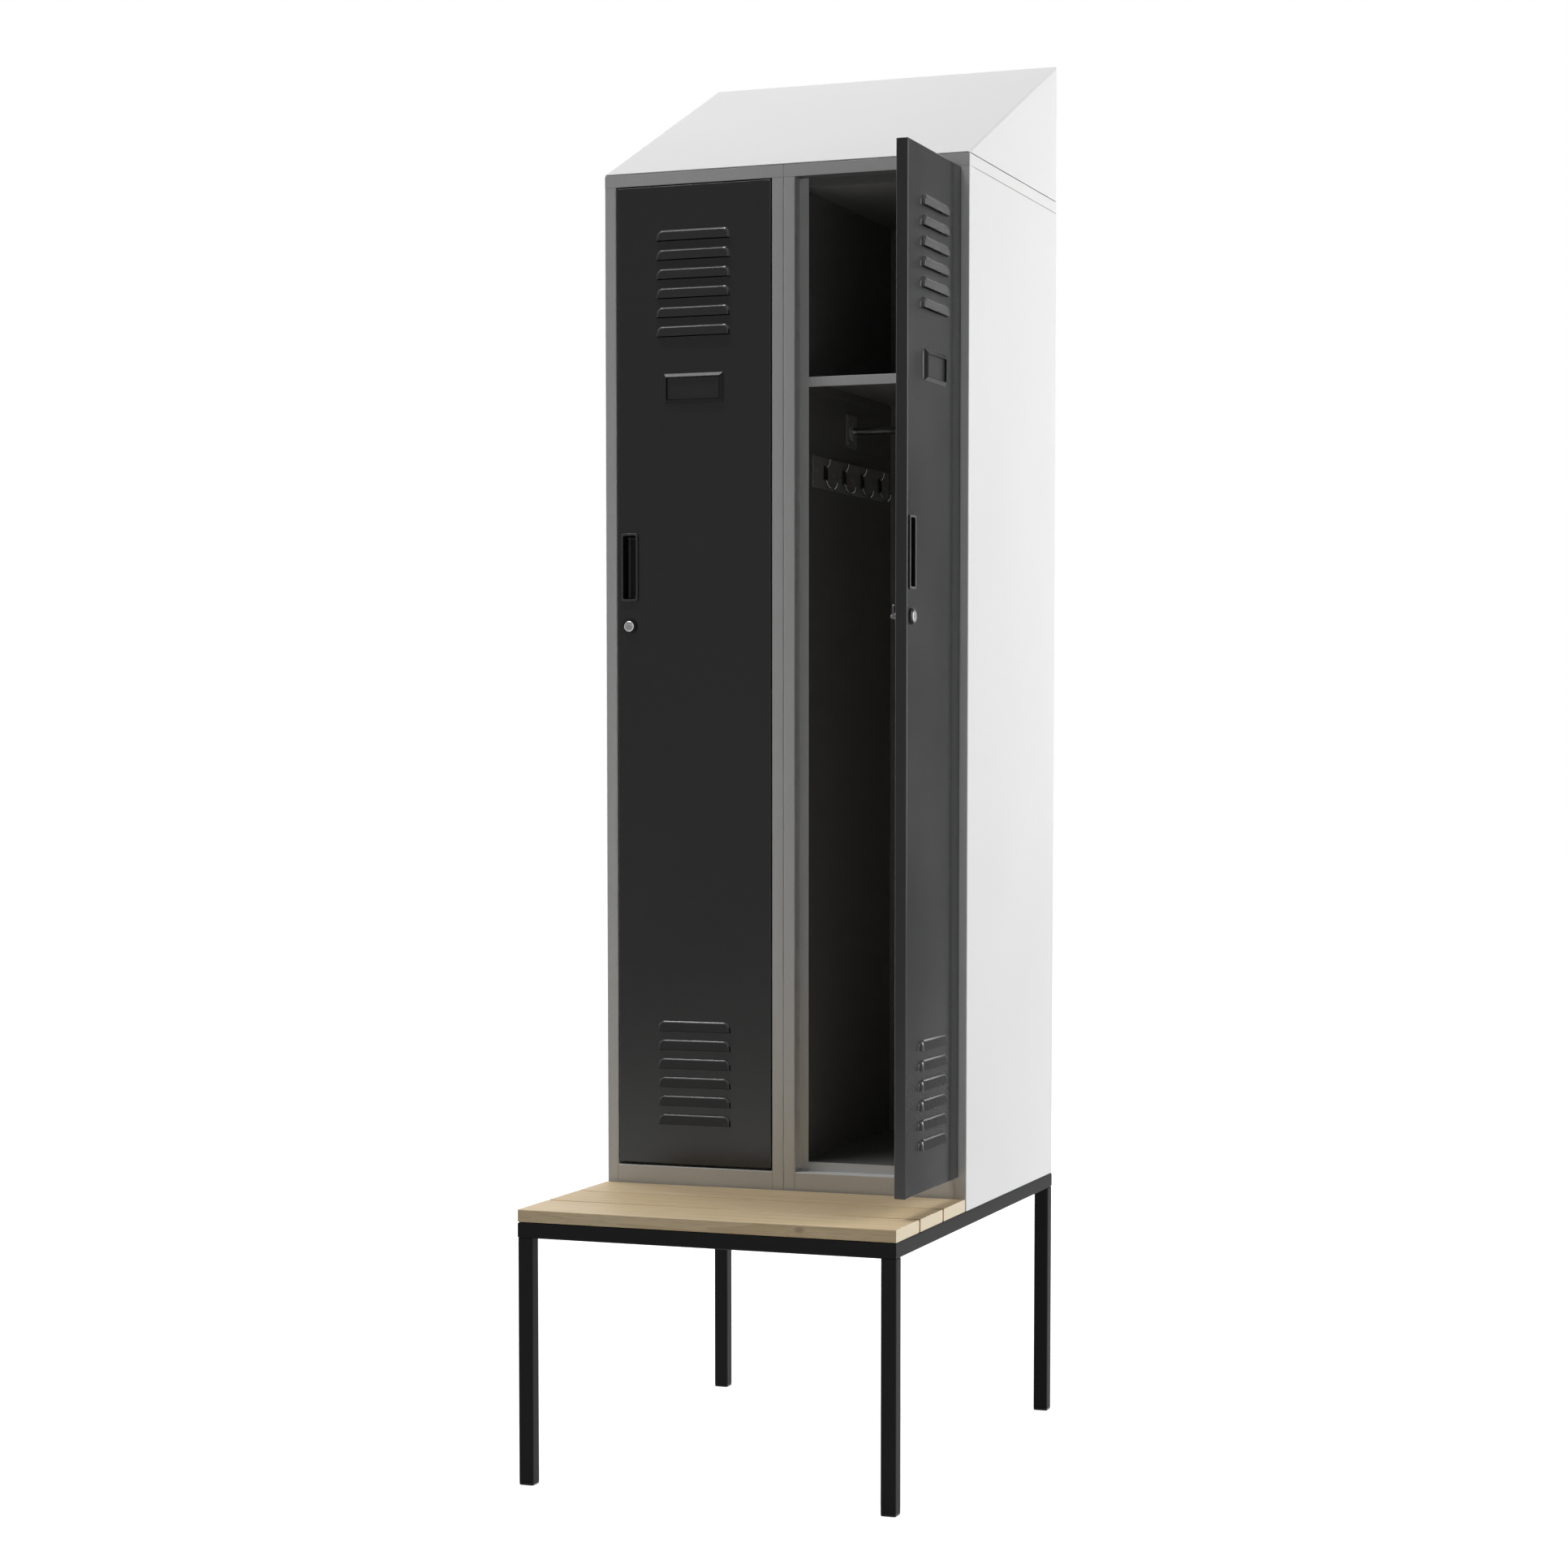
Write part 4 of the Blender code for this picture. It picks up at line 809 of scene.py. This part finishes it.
class LOCKER_OT_shell(bpy.types.Operator):
    """Models the folded side walls, top caps, bottom rails and the sloping roof"""

    bl_idname = "locker.shell"
    bl_label = "Cabinet shell"

    def execute(self, context):
        sizes = context.scene.locker_sizes
        bend, steps = sizes.bend, sizes.bend_steps
        path = ((REAR_FLANGE, DEPTH), (0, DEPTH), (0, 0), (STILE, 0), (STILE, STOP_DEPTH),
                (STILE + LIP, STOP_DEPTH))
        wall = folded_sheet(path, "z", 0, PANEL_TOP, (0, 1, 0), bend, steps)
        slots = [brick((OPENING_RIGHT - 0.002, 0.0013, middle - SLOT_HALF),
                       (OPENING_RIGHT + 0.002, 0.0135, middle + SLOT_HALF)) for middle in ARM_HEIGHTS]
        hinge_wall = combined(mirrored(wall), joined(slots), "DIFFERENCE")
        cap, rail = top_cap(bend, steps), bottom_rail(bend, steps)
        for side in SIDES:
            side_piece(side, "_latch_wall_sheet", wall, "light_paint", "_latch_side_panel")
            side_piece(side, "_hinge_wall_sheet", hinge_wall, "light_paint", "_hinge_side_panel")
            side_piece(side, "_bottom_rail_sheet", rail, "light_paint", "_bottom_rail")
            # the cap's underside and door stop get the dark rear paint as painted shade
            side_piece(side, "_cap_sheet", cap, "light_paint", "_top_cap",
                       finishes=("light_paint", "rear_paint_and_painted_shade"))
        piece("sloping_roof_sheet", sloping_roof(sizes.roof_fold), "carcass", "light_paint", ["sloping_roof"])
        return {"FINISHED"}


def inner_tray(bottom, top, open_side, radius, steps):
    """A tray that fills a compartment from lining to lining."""
    return sheet_tray((WALL, LINING_FRONT, bottom), (MODULE - WALL, LINING_REAR, top), open_side, radius,
                      steps)


def shelf_sheet(steps):
    """Shelf tray whose pale front edge lies flush with the door stops."""
    plate = inner_tray(SHELF_BOTTOM, SHELF_TOP, "-z", 0.0004, 2)
    nose_side = WALL + LIP
    nose = brick((nose_side, STOP_DEPTH, SHELF_BOTTOM),
                 (MODULE - nose_side, LINING_FRONT + SHEET / 2, SHELF_TOP), 0.0012, steps,
                 lambda edge: all(v.co.y < LINING_FRONT for v in edge.verts)
                 and abs(edge.verts[0].co.x - edge.verts[1].co.x) > SHEET)
    return two_tone(combined(plate, nose), lambda spot: spot.y < STOP_DEPTH + SHEET)


class LOCKER_OT_compartments(bpy.types.Operator):
    """Models the dark linings, floors, ceilings, shelves and rear walls"""

    bl_idname = "locker.compartments"
    bl_label = "Compartments"

    def execute(self, context):
        steps = context.scene.locker_sizes.bend_steps
        back_side = SHEET + GAP
        lining = brick((STILE - SHEET, LINING_FRONT, GAP), (STILE, LINING_REAR, PANEL_TOP), 0.0002, 2)
        back = sheet_tray((back_side, BACK_FACE, GAP), (MODULE - back_side, DEPTH - back_side, PANEL_TOP),
                          "+y", 0.0015, steps)
        floor = inner_tray(FLOOR_TOP - TRAY_FLANGE, FLOOR_TOP, "-z", TRAY_FOLD, steps)
        ceiling = inner_tray(CEILING, CEILING + TRAY_FLANGE, "+z", TRAY_FOLD, steps)
        back = two_tone(back, lambda spot: spot.y > BACK_FACE + SHEET / 2)
        for side in SIDES:
            for name, mesh, node, finishes in (
                    ("_lining_left_sheet", lining, "_lining_left", None),
                    ("_lining_right_sheet", mirrored(lining), "_lining_right", None),
                    ("_ceiling_sheet", ceiling, "_ceiling", None),
                    ("_floor_sheet", floor, "_floor", ("rear_paint_and_painted_shade",)),
                    ("_rear_wall_sheet", back, "_back_panel", ("dark_paint", "rear_paint_and_painted_shade")),
                    ("_shelf_sheet", shelf_sheet(steps), "_shelf", ("dark_paint", "light_paint"))):
                side_piece(side, name, mesh, "dark_paint", node, finishes=finishes)
        return {"FINISHED"}


def clothes_tube(half):
    """Clothes rail of a given half length along Z."""
    inner, edge = RAIL_RADIUS - 0.001, RAIL_RADIUS - 0.0002
    return turned(((inner, -half), (inner, half), (edge, half), (RAIL_RADIUS, half - 0.0003),
                   (RAIL_RADIUS, 0.0), (RAIL_RADIUS, 0.0003 - half), (edge, -half)), closed=True)


def rail_bracket():
    """Plate and round boss with a seat for the rail's end that is open at the top, on +Z with Y up."""
    plate = stacked([(0.0250, 0.0275, 0), (0.0250, 0.0275, 0.0014), (0.0247, 0.0272, 0.0018),
                     (0.0241, 0.0266, 0.0020)], 0.002)
    boss = turned(((0, 0.0010), (0.0155, 0.0010), (0.0155, 0.0057), (0.0152, 0.0062), (0.0147, 0.0065),
                   (0, 0.0065)))
    bed, top, bore = 0.0030, 0.0070, RAIL_RADIUS + GAP
    seat = turned(((0, bed), (bore, bed), (bore, top), (0, top)))
    mouth = brick((-bore, 0, bed), (bore, 0.0180, top))
    return combined(combined(plate, boss), combined(seat, mouth), "DIFFERENCE")


def hook_strip():
    """Strip with broken edges, on +Z with its length along X."""
    width, height = STRIP_HALF
    return stacked([(width - inset, height - inset, level) for inset, level in (
        (0.0004, 0), (0, 0.0004), (0, 0.0020), (0.0003, 0.0027), (0.0010, STRIP_THICKNESS))], 0.002)


def rod_along(points, radius):
    """A round rod through points, as a mesh."""
    curve = bpy.data.curves.new("rod", "CURVE")
    curve.dimensions = "3D"
    curve.bevel_depth = radius
    curve.bevel_resolution = 4
    curve.use_fill_caps = True
    curve.resolution_u = 6
    spline = curve.splines.new("BEZIER")
    spline.bezier_points.add(len(points) - 1)
    for knot, point in zip(spline.bezier_points, points):
        knot.co = point
        knot.handle_left_type = knot.handle_right_type = "AUTO"
    return evaluated(linked("rod", curve))


def hook_plates(face, front):
    """The four plates that carry the prongs."""
    width, height = HOOK_PLATE_HALF
    return joined([brick((face - 0.0008, depth - width, STRIP_HEIGHT - height),
                         (front, depth + width, STRIP_HEIGHT + height), 0.0008, 4,
                         lambda edge: any(v.co.x > front - 1e-5 for v in edge.verts))
                   for depth in HOOK_DEPTHS])


def hook_prongs(front):
    """A long lower prong that dips and turns up and a short upper one for each hook, with ball tips."""
    rod, tip = 0.0017, 0.0023
    reach, drop, swing, rise = 0.0120, 0.016, 0.0065, 0.009
    quarter = [math.pi / 2 * i / 6 for i in range(1, 7)]
    meshes = []
    for depth in HOOK_DEPTHS:
        root, dip = STRIP_HEIGHT - HOOK_PLATE_HALF[1] + rod, front + reach
        lower = [(front - rod, depth, root)]
        lower += [(dip - reach * math.cos(turn), depth, root - drop * math.sin(turn)) for turn in quarter]
        lower += [(dip + swing * math.sin(turn), depth, root - drop + rise * (1 - math.cos(turn)))
                  for turn in quarter]
        head = STRIP_HEIGHT + HOOK_PLATE_HALF[1] - rod
        upper = [(front - rod, depth, head)]
        upper += [(front + 0.006 * math.sin(turn), depth, head + 0.011 * (1 - math.cos(turn)))
                  for turn in quarter]
        for line in (lower, upper):
            meshes.append(rod_along(line, rod))
            bm = bmesh.new()
            bmesh.ops.create_uvsphere(bm, u_segments=16, v_segments=10, radius=tip)
            bmesh.ops.translate(bm, vec=line[-1], verts=bm.verts)
            meshes.append(finished(bm))
    return joined(meshes)


class LOCKER_OT_fittings(bpy.types.Operator):
    """Models the clothes rails in their brackets and the strips with coat hooks"""

    bl_idname = "locker.fittings"
    bl_label = "Rails and hooks"

    def execute(self, context):
        tube = clothes_tube(MODULE / 2 - (WALL + 0.003 + GAP))
        bracket = rail_bracket()
        face = WALL + STRIP_THICKNESS
        front = face + 0.0035
        rivet = turned(((0, 0.0014), (0.0015, 0.0012), (0.0027, 0.0006), (0.0030, 0), (0, -0.0004)), 18)
        centre = at(MODULE / 2, FITTINGS_DEPTH, RAIL_HEIGHT) @ Matrix.Rotation(math.pi / 2, 4, "Y")
        left = at(WALL, FITTINGS_DEPTH, RAIL_HEIGHT) @ OUT_OF_LEFT_WALL
        right = at(MODULE - WALL, FITTINGS_DEPTH, RAIL_HEIGHT) @ OUT_OF_RIGHT_WALL
        strip = at(WALL, FITTINGS_DEPTH, STRIP_HEIGHT) @ OUT_OF_LEFT_WALL
        heads = joined([moved(screw(0.0032, 0.0014), wall_place @ at(x, y, 0.002))
                        for wall_place in (left, right) for y in (0.0205, -0.0205)
                        for x in (-0.0185, 0.0185)])
        rivets = joined([moved(rivet, strip @ at(x, 0, STRIP_THICKNESS))
                         for x in (-0.1815, -0.0935, 0.0, 0.0935, 0.1815)])
        light = ("fitting_paint",)
        for side in SIDES:
            for name, mesh, slot, node, place, finishes in (
                    ("_clothes_tube", tube, "chrome", "_clothes_rail", centre, None),
                    ("_rail_holder_left", bracket, "dark_paint", "_rail_bracket_left", left, light),
                    ("_rail_holder_right", bracket, "dark_paint", "_rail_bracket_right", right, light),
                    ("_rail_holder_screws", heads, "dark_paint", None, Matrix(), light),
                    ("_hook_rail", hook_strip(), "dark_paint", "_hook_strip", strip, light),
                    ("_hook_plates", hook_plates(face, front), "black_plastic", None, Matrix(), None),
                    ("_hook_prongs", hook_prongs(front), "chrome", None, Matrix(), ("hook_steel",)),
                    ("_hook_rail_rivets", rivets, "dark_paint", None, Matrix(), light)):
                side_piece(side, name, mesh, slot, node, place, finishes)
        return {"FINISHED"}


def louvre(grow_out, bottom, levels):
    """Pressed hood with round upper corners, lofted through (level, inset) steps."""
    half_base, half_crest = LOUVRE_BASE / 2 - grow_out, LOUVRE_CREST / 2 - grow_out
    top = LOUVRE_HEIGHT - grow_out
    bm = square_face()
    for vert in bm.verts:
        upper = vert.co.y > 0
        vert.co.x = math.copysign(half_crest if upper else half_base, vert.co.x)
        vert.co.y = top if upper else bottom
    lean = math.atan2(LOUVRE_HEIGHT, half_base - half_crest)
    corner = (LOUVRE_CORNER - grow_out) * math.tan(lean / 2)
    bevel(bm, [v for v in bm.verts if v.co.y > 0], corner, 10, "VERTICES")
    steps = [(half_base - inset, LOUVRE_HEIGHT - inset, level) for level, inset in levels]
    half_width, height, level = steps[0]
    bmesh.ops.scale(bm, vec=(half_width / half_base, height / LOUVRE_HEIGHT, 1), verts=bm.verts)
    bmesh.ops.translate(bm, vec=(0, 0, level), verts=bm.verts)
    grow(bm, bm.faces[:][0], steps[1:], (half_width, height))
    crest = levels[-1][0]
    for vert in bm.verts:
        if vert.co.z > 0:
            vert.co.z -= LOUVRE_FALL * vert.co.y / LOUVRE_HEIGHT * vert.co.z / crest
    return finished(bm)


def door_skin(edge, steps):
    """Door pan with its pressed louvers and the holes for the grip and the lock."""
    pan = sheet_tray((DOOR_LEFT, 0, DOOR_BOTTOM), (DOOR_RIGHT, DOOR_THICKNESS, DOOR_TOP), "+y", edge, steps,
                     DOOR_FLANGE)
    heights = [height for i in range(LOUVRE_COUNT)
               for height in (UPPER_LOUVRES - i * LOUVRE_PITCH, LOWER_LOUVRES + i * LOUVRE_PITCH)]
    for mesh, operation in ((louvre(0.0, 0.0, HOOD), "UNION"), (louvre(SHEET, -SHEET, VOID), "DIFFERENCE")):
        copies = [moved(mesh, at(DOOR_CENTRE, 0, height) @ OUT_OF_DOOR) for height in heights]
        pan = combined(pan, joined(copies), operation)
    behind, before, bore = -0.009, 0.004, HOUSING_RADIUS + GAP
    grip_hole = stacked([(0.01355, 0.05455, behind), (0.01355, 0.05455, before)], 0.003)
    lock_hole = turned(((0, behind), (bore, behind), (bore, before), (0, before)))
    holes = [moved(hole, at(HANDLE_U, 0, height) @ OUT_OF_DOOR)
             for hole, height in ((grip_hole, HANDLE_HEIGHT), (lock_hole, LOCK_HEIGHT))]
    return combined(pan, joined(holes), "DIFFERENCE")


def hinge_arm(middle):
    """Eye round the hinge rod with a goose neck that runs back and into the door's edge."""
    thin, bore, rim, edge = 0.00075, 0.0018, 0.0024, 0.0003
    tall = 2 * ARM_HALF
    neck_u, elbow = PIVOT_U + 0.0021, PIVOT_DEPTH + 0.0065 + thin
    eye = turned(((bore, edge), (bore + edge, 0), (rim - edge, 0), (rim, edge), (rim, tall - edge),
                  (rim - edge, tall), (bore + edge, tall), (bore, tall - edge)), 24, closed=True)
    path = ((neck_u, PIVOT_DEPTH), (neck_u, elbow), (DOOR_RIGHT - SHEET / 2, elbow))
    neck = folded_sheet(path, "z", middle - ARM_HALF, middle + ARM_HALF, (1, 0, 0), 0.003, 6, 2 * thin)
    return [moved(eye, at(PIVOT_U, PIVOT_DEPTH, middle - ARM_HALF)), neck]


def stiffener(bend, steps):
    """Hat-shaped profile along the hinge side of the door's inside."""
    right = DOOR_RIGHT - 0.018
    left, back, crown, foot = right - 0.040, SHEET + GAP, SHEET + GAP + 0.014, 0.010
    path = ((left, back), (left + foot, back), (left + foot, crown), (right - foot, crown),
            (right - foot, back), (right, back))
    return folded_sheet(path, "z", DOOR_BOTTOM + 0.030, DOOR_TOP - 0.030, (0, -1, 0), bend, steps)


class LOCKER_OT_doors(bpy.types.Operator):
    """Models the louvered doors with their stiffeners and hinges"""

    bl_idname = "locker.doors"
    bl_label = "Doors"

    def execute(self, context):
        sizes = context.scene.locker_sizes
        skin = door_skin(sizes.door_edge, sizes.bend_steps)
        brace = stiffener(sizes.bend, sizes.bend_steps)
        arms = joined([mesh for middle in ARM_HEIGHTS for mesh in hinge_arm(middle)])
        radius, edge = 0.0015, 0.0003
        rod = turned(((0, 0), (radius - edge, 0), (radius, edge), (radius, PANEL_TOP - edge),
                      (radius - edge, PANEL_TOP), (0, PANEL_TOP)), 24)
        for side in SIDES:
            side_piece(side, "_door_pressing", skin, "door_paint", "_door_skin", moving="_door")
            side_piece(side, "_door_brace", brace, "dark_paint", "_door_stiffener", finishes=("door_paint",),
                       moving="_door")
            side_piece(side, "_hinge_arms", arms, "door_paint", moving="_door")
            side_piece(side, "_hinge_pin", rod, "hinge_steel", "_hinge_rod", at(PIVOT_U, PIVOT_DEPTH, 0))
        return {"FINISHED"}


def grip_cup():
    """Cup that the fingers reach into, its rim in a lighter plastic as painted light and its inside black."""
    cup = stacked([
        (0.0080, 0.0490, -0.0175), (0.0105, 0.0515, -0.0170), (0.0125, 0.0535, -0.0150),
        (0.01325, 0.05425, -0.0115), (0.01325, 0.05425, GAP), (0.0150, 0.0560, GAP),
        (0.0150, 0.0560, 0.0021), (0.0148, 0.0558, 0.0026), (0.0143, 0.0553, 0.0030),
        (0.0124, 0.0534, 0.0030), (0.0118, 0.0528, 0.0027), (0.0115, 0.0525, 0.0020),
        (0.0113, 0.0523, -0.0095), (0.0103, 0.0513, -0.0128), (0.0080, 0.0490, -0.0151),
        (0.0050, 0.0455, -0.0160)], 0.003)
    # the rim's lighter plastic is painted light
    return two_tone(cup, lambda spot: spot.z > GRIP_RIM)


def label_holder():
    """Raised frame with wide sloping sides round a shallow blank pocket."""
    mesh = stacked([(0.0530, 0.0245, GAP), (0.0530, 0.0245, 0.0005), (0.0529, 0.0244, 0.0006),
                    (0.0475, 0.0190, 0.0044), (0.0473, 0.0188, 0.0045), (0.0464, 0.0179, 0.0045),
                    (0.0462, 0.0177, 0.0043), (0.0460, 0.0175, 0.0015)], 0.0008, 3)
    for face in mesh.polygons:
        face.material_index = int(face.normal.z > 0.9 and face.center.z < 0.002)
    return mesh


def lock_barrel():
    """Turning cylinder with a keyway in front, its cam behind and the nut that holds it."""
    body = turned(((0, 0.0060), (0.0073, 0.0060), (0.0076, 0.0059), (0.0085, 0.0052), (0.0086, 0.0050),
                   (0.0086, 0.0043), (BARREL_RADIUS, 0.0043), (BARREL_RADIUS, BARREL_REAR),
                   (0.0060, BARREL_REAR), (0.0060, -0.0275), (0, -0.0275)))
    keyway = brick((-0.0030, -0.0006, 0.0030), (0.0030, 0.0006, 0.0080))
    body = combined(body, keyway, "DIFFERENCE")
    half, tip, heel = 0.005, 0.018, -0.005
    bm = square_face()
    for vert in bm.verts:
        vert.co.x *= half
        vert.co.y = tip if vert.co.y > 0 else heel
    for at_tip, radius in ((False, 0.0049), (True, 0.0025)):
        bevel(bm, [v for v in bm.verts if (v.co.y > tip / 2) == at_tip], radius, 8, "VERTICES")
    bmesh.ops.translate(bm, vec=(0, 0, -0.0293), verts=bm.verts)
    grow(bm, bm.faces[:][0], [(half, tip, -0.0263)], (half, tip))
    nut = turned(((0, -0.0327), (0.0030, -0.0327), (0.0034, -0.0323), (0.0034, -0.0290), (0, -0.0290)), 6)
    return two_tone(combined(combined(body, finished(bm)), nut), lambda spot: spot.z < -0.010)


class LOCKER_OT_door_hardware(bpy.types.Operator):
    """Models the grips, label holders and cylinder locks"""

    bl_idname = "locker.door_hardware"
    bl_label = "Grips, labels and locks"

    def execute(self, context):
        bore = BARREL_RADIUS + GAP
        bezel = turned(((bore, 0.0034), (BARREL_RADIUS + 0.0008, 0.0040), (0.0111, 0.0040), (0.0121, 0.0034),
                        (0.0125, 0.0022), (0.0125, GAP), (HOUSING_RADIUS, GAP), (HOUSING_RADIUS, BARREL_REAR),
                        (bore, BARREL_REAR)), closed=True)
        grip, label, lock = (at(u, 0, height) @ OUT_OF_DOOR for u, height in (
            (HANDLE_U, HANDLE_HEIGHT), (DOOR_CENTRE, LABEL_HEIGHT), (HANDLE_U, LOCK_HEIGHT)))
        for side in SIDES:
            side_piece(side, "_grip_cup", grip_cup(), "black_plastic", "_handle_cup", grip,
                       ("black_plastic", "grip_rim_painted_light"), "_door")
            side_piece(side, "_label_frame", label_holder(), "black_plastic", "_label_holder", label,
                       ("label_plastic", "door_paint"), "_door")
            side_piece(side, "_lock_bezel", bezel, "black_plastic", "_lock_housing", lock, moving="_door")
            side_piece(side, "_lock_cylinder", lock_barrel(), "lock_steel", "_lock_barrel", lock,
                       ("lock_steel", "dark_steel"), "_lock")
        return {"FINISHED"}


def lamp(name, place, aim, size, power):
    """A soft square lamp that faces a point."""
    data = bpy.data.lights.new(name, "AREA")
    data.shape = "RECTANGLE"
    data.size, data.size_y = size
    data.energy = power
    made = linked(name, data)
    made.location = place
    made.rotation_mode = "QUATERNION"
    made.rotation_quaternion = (Vector(aim) - Vector(place)).to_track_quat("-Z", "Y")


def staged(name, mesh, material):
    """Adds a piece of the studio."""
    mesh.materials.append(material)
    made = linked(name, mesh)
    return made


def card(name, low, high, tone):
    """A grey card that only reflections see."""
    grey, graph = new_material(name)
    graph.end(graph.white("ShaderNodeEmission", tone))
    made = staged(name, brick(low, high), grey)
    made.visible_camera = made.visible_diffuse = made.visible_shadow = made.visible_transmission = False


def seen_directly(graph):
    """1 for camera, mirror and see-through rays, which meet plain white."""
    rays = graph.node("ShaderNodeLightPath").socket.node.outputs
    camera, glossy, through = (Wire(graph, rays[name]) for name in
                               ("Is Camera Ray", "Is Glossy Ray", "Is Transmission Ray"))
    return (camera + glossy + through) > 0.5


class LOCKER_OT_studio(bpy.types.Operator):
    """Sets up the pale floor, the white surroundings, the lamps and the camera"""

    bl_idname = "locker.studio"
    bl_label = "Studio"

    def execute(self, context):
        scene = context.scene
        scene.world = bpy.data.worlds.new("studio")
        graph = Graph(scene.world)
        soft, white = (graph.white("ShaderNodeBackground", strength) for strength in (0.01, 1.0))
        graph.end(graph.mix(seen_directly(graph), soft, white), "ShaderNodeOutputWorld")

        bm = bmesh.new()
        bmesh.ops.create_circle(bm, cap_ends=True, segments=96, radius=30.0)
        bmesh.ops.translate(bm, vec=(0, 0, -0.0002), verts=bm.verts)
        mesh = finished(bm)
        if mesh.polygons[0].normal.z < 0:
            mesh.flip_normals()
        floor_paint, graph = new_material("pale_floor")
        stone = graph.node("ShaderNodeBsdfDiffuse", values={"Color": (0.50, 0.50, 0.50), "Roughness": 0.5})
        x, y, _ = graph.split(graph.place())
        far = ((x * x + y * y) ** 0.5).smooth(1.2, 4.0)
        near_glow, far_glow = (graph.white("ShaderNodeEmission", strength) for strength in (0.86, 1.0))
        lit = graph.node("ShaderNodeAddShader", values={0: stone, 1: graph.mix(far, near_glow, far_glow)})
        graph.end(graph.mix(seen_directly(graph), stone, lit))
        staged("studio_floor", mesh, floor_paint)
        card("studio_card_rear", (0.93, 2.2, -0.5), (2.9, 2.21, 4.6), 0.0)
        card("studio_card_front", (-5.0, -4.0, 0.05), (-0.5, -3.99, 4.2), 0.35)

        lamp("key", (6.2, 3.4, 2.7), (0.1, 0.0, 1.1), (4.4, 4.4), 455)
        lamp("overhead", (-3.3, -2.1, 10.0), (-3.3, 0.0, 1.1), (5.2, 0.6), 345)
        lamp("overhead_rear", (-2.0, 1.6, 10.0), (-2.0, 1.5, 1.1), (5.0, 2.0), 355)
        lamp("front_fill", (4.6, -3.4, 1.8), (0.0, 0.0, 1.1), (2.6, 2.6), 12)
        lamp("left_fill", (-5.8, 1.8, 1.6), (0.0, 0.2, 1.1), (3.0, 3.0), 60)
        lamp("rear_fill", (-0.4, 6.5, 2.2), (0.0, 0.0, 1.1), (3.0, 3.0), 130)

        data = bpy.data.cameras.new("camera")
        data.sensor_width = SENSOR
        data.lens = SENSOR * FOCAL_PIXELS / PHOTO_WIDTH
        data.shift_y = CAMERA_SHIFT
        data.clip_start, data.clip_end = 0.05, 100.0
        camera = scene.camera = linked("camera", data)
        camera.location = CAMERA_PLACE
        camera.rotation_euler = CAMERA_TURN
        scene.view_settings.view_transform = "Standard"
        return {"FINISHED"}


class LOCKER_PT_panel(bpy.types.Panel):
    """Lists the sizes, the colours and the steps"""

    bl_idname = "LOCKER_PT_panel"
    bl_label = "Locker with bench"
    bl_space_type = "VIEW_3D"
    bl_region_type = "UI"
    bl_category = "Locker"

    def draw(self, context):
        for group in (context.scene.locker_sizes, context.scene.locker_colours):
            box = self.layout.box()
            for name in group.bl_rna.properties.keys():
                if name not in ("rna_type", "name"):
                    box.prop(group, name)
        for step in STEPS:
            self.layout.operator(step.bl_idname)


STEPS = (LOCKER_OT_underframe, LOCKER_OT_bench, LOCKER_OT_shell, LOCKER_OT_compartments, LOCKER_OT_fittings,
         LOCKER_OT_doors, LOCKER_OT_door_hardware, LOCKER_OT_studio)
CLASSES = (LockerSizes, LockerColours, *STEPS, LOCKER_PT_panel)


def register():
    for item in CLASSES:
        bpy.utils.register_class(item)
    bpy.types.Scene.locker_sizes = PointerProperty(type=LockerSizes)
    bpy.types.Scene.locker_colours = PointerProperty(type=LockerColours)


def unregister():
    del bpy.types.Scene.locker_colours
    del bpy.types.Scene.locker_sizes
    for item in reversed(CLASSES):
        bpy.utils.unregister_class(item)


def main():
    register()
    bpy.ops.locker.underframe()
    bpy.ops.locker.bench()
    bpy.ops.locker.shell()
    bpy.ops.locker.compartments()
    bpy.ops.locker.fittings()
    bpy.ops.locker.doors()
    bpy.ops.locker.door_hardware()
    bpy.ops.locker.studio()


if __name__ == "__main__":
    main()
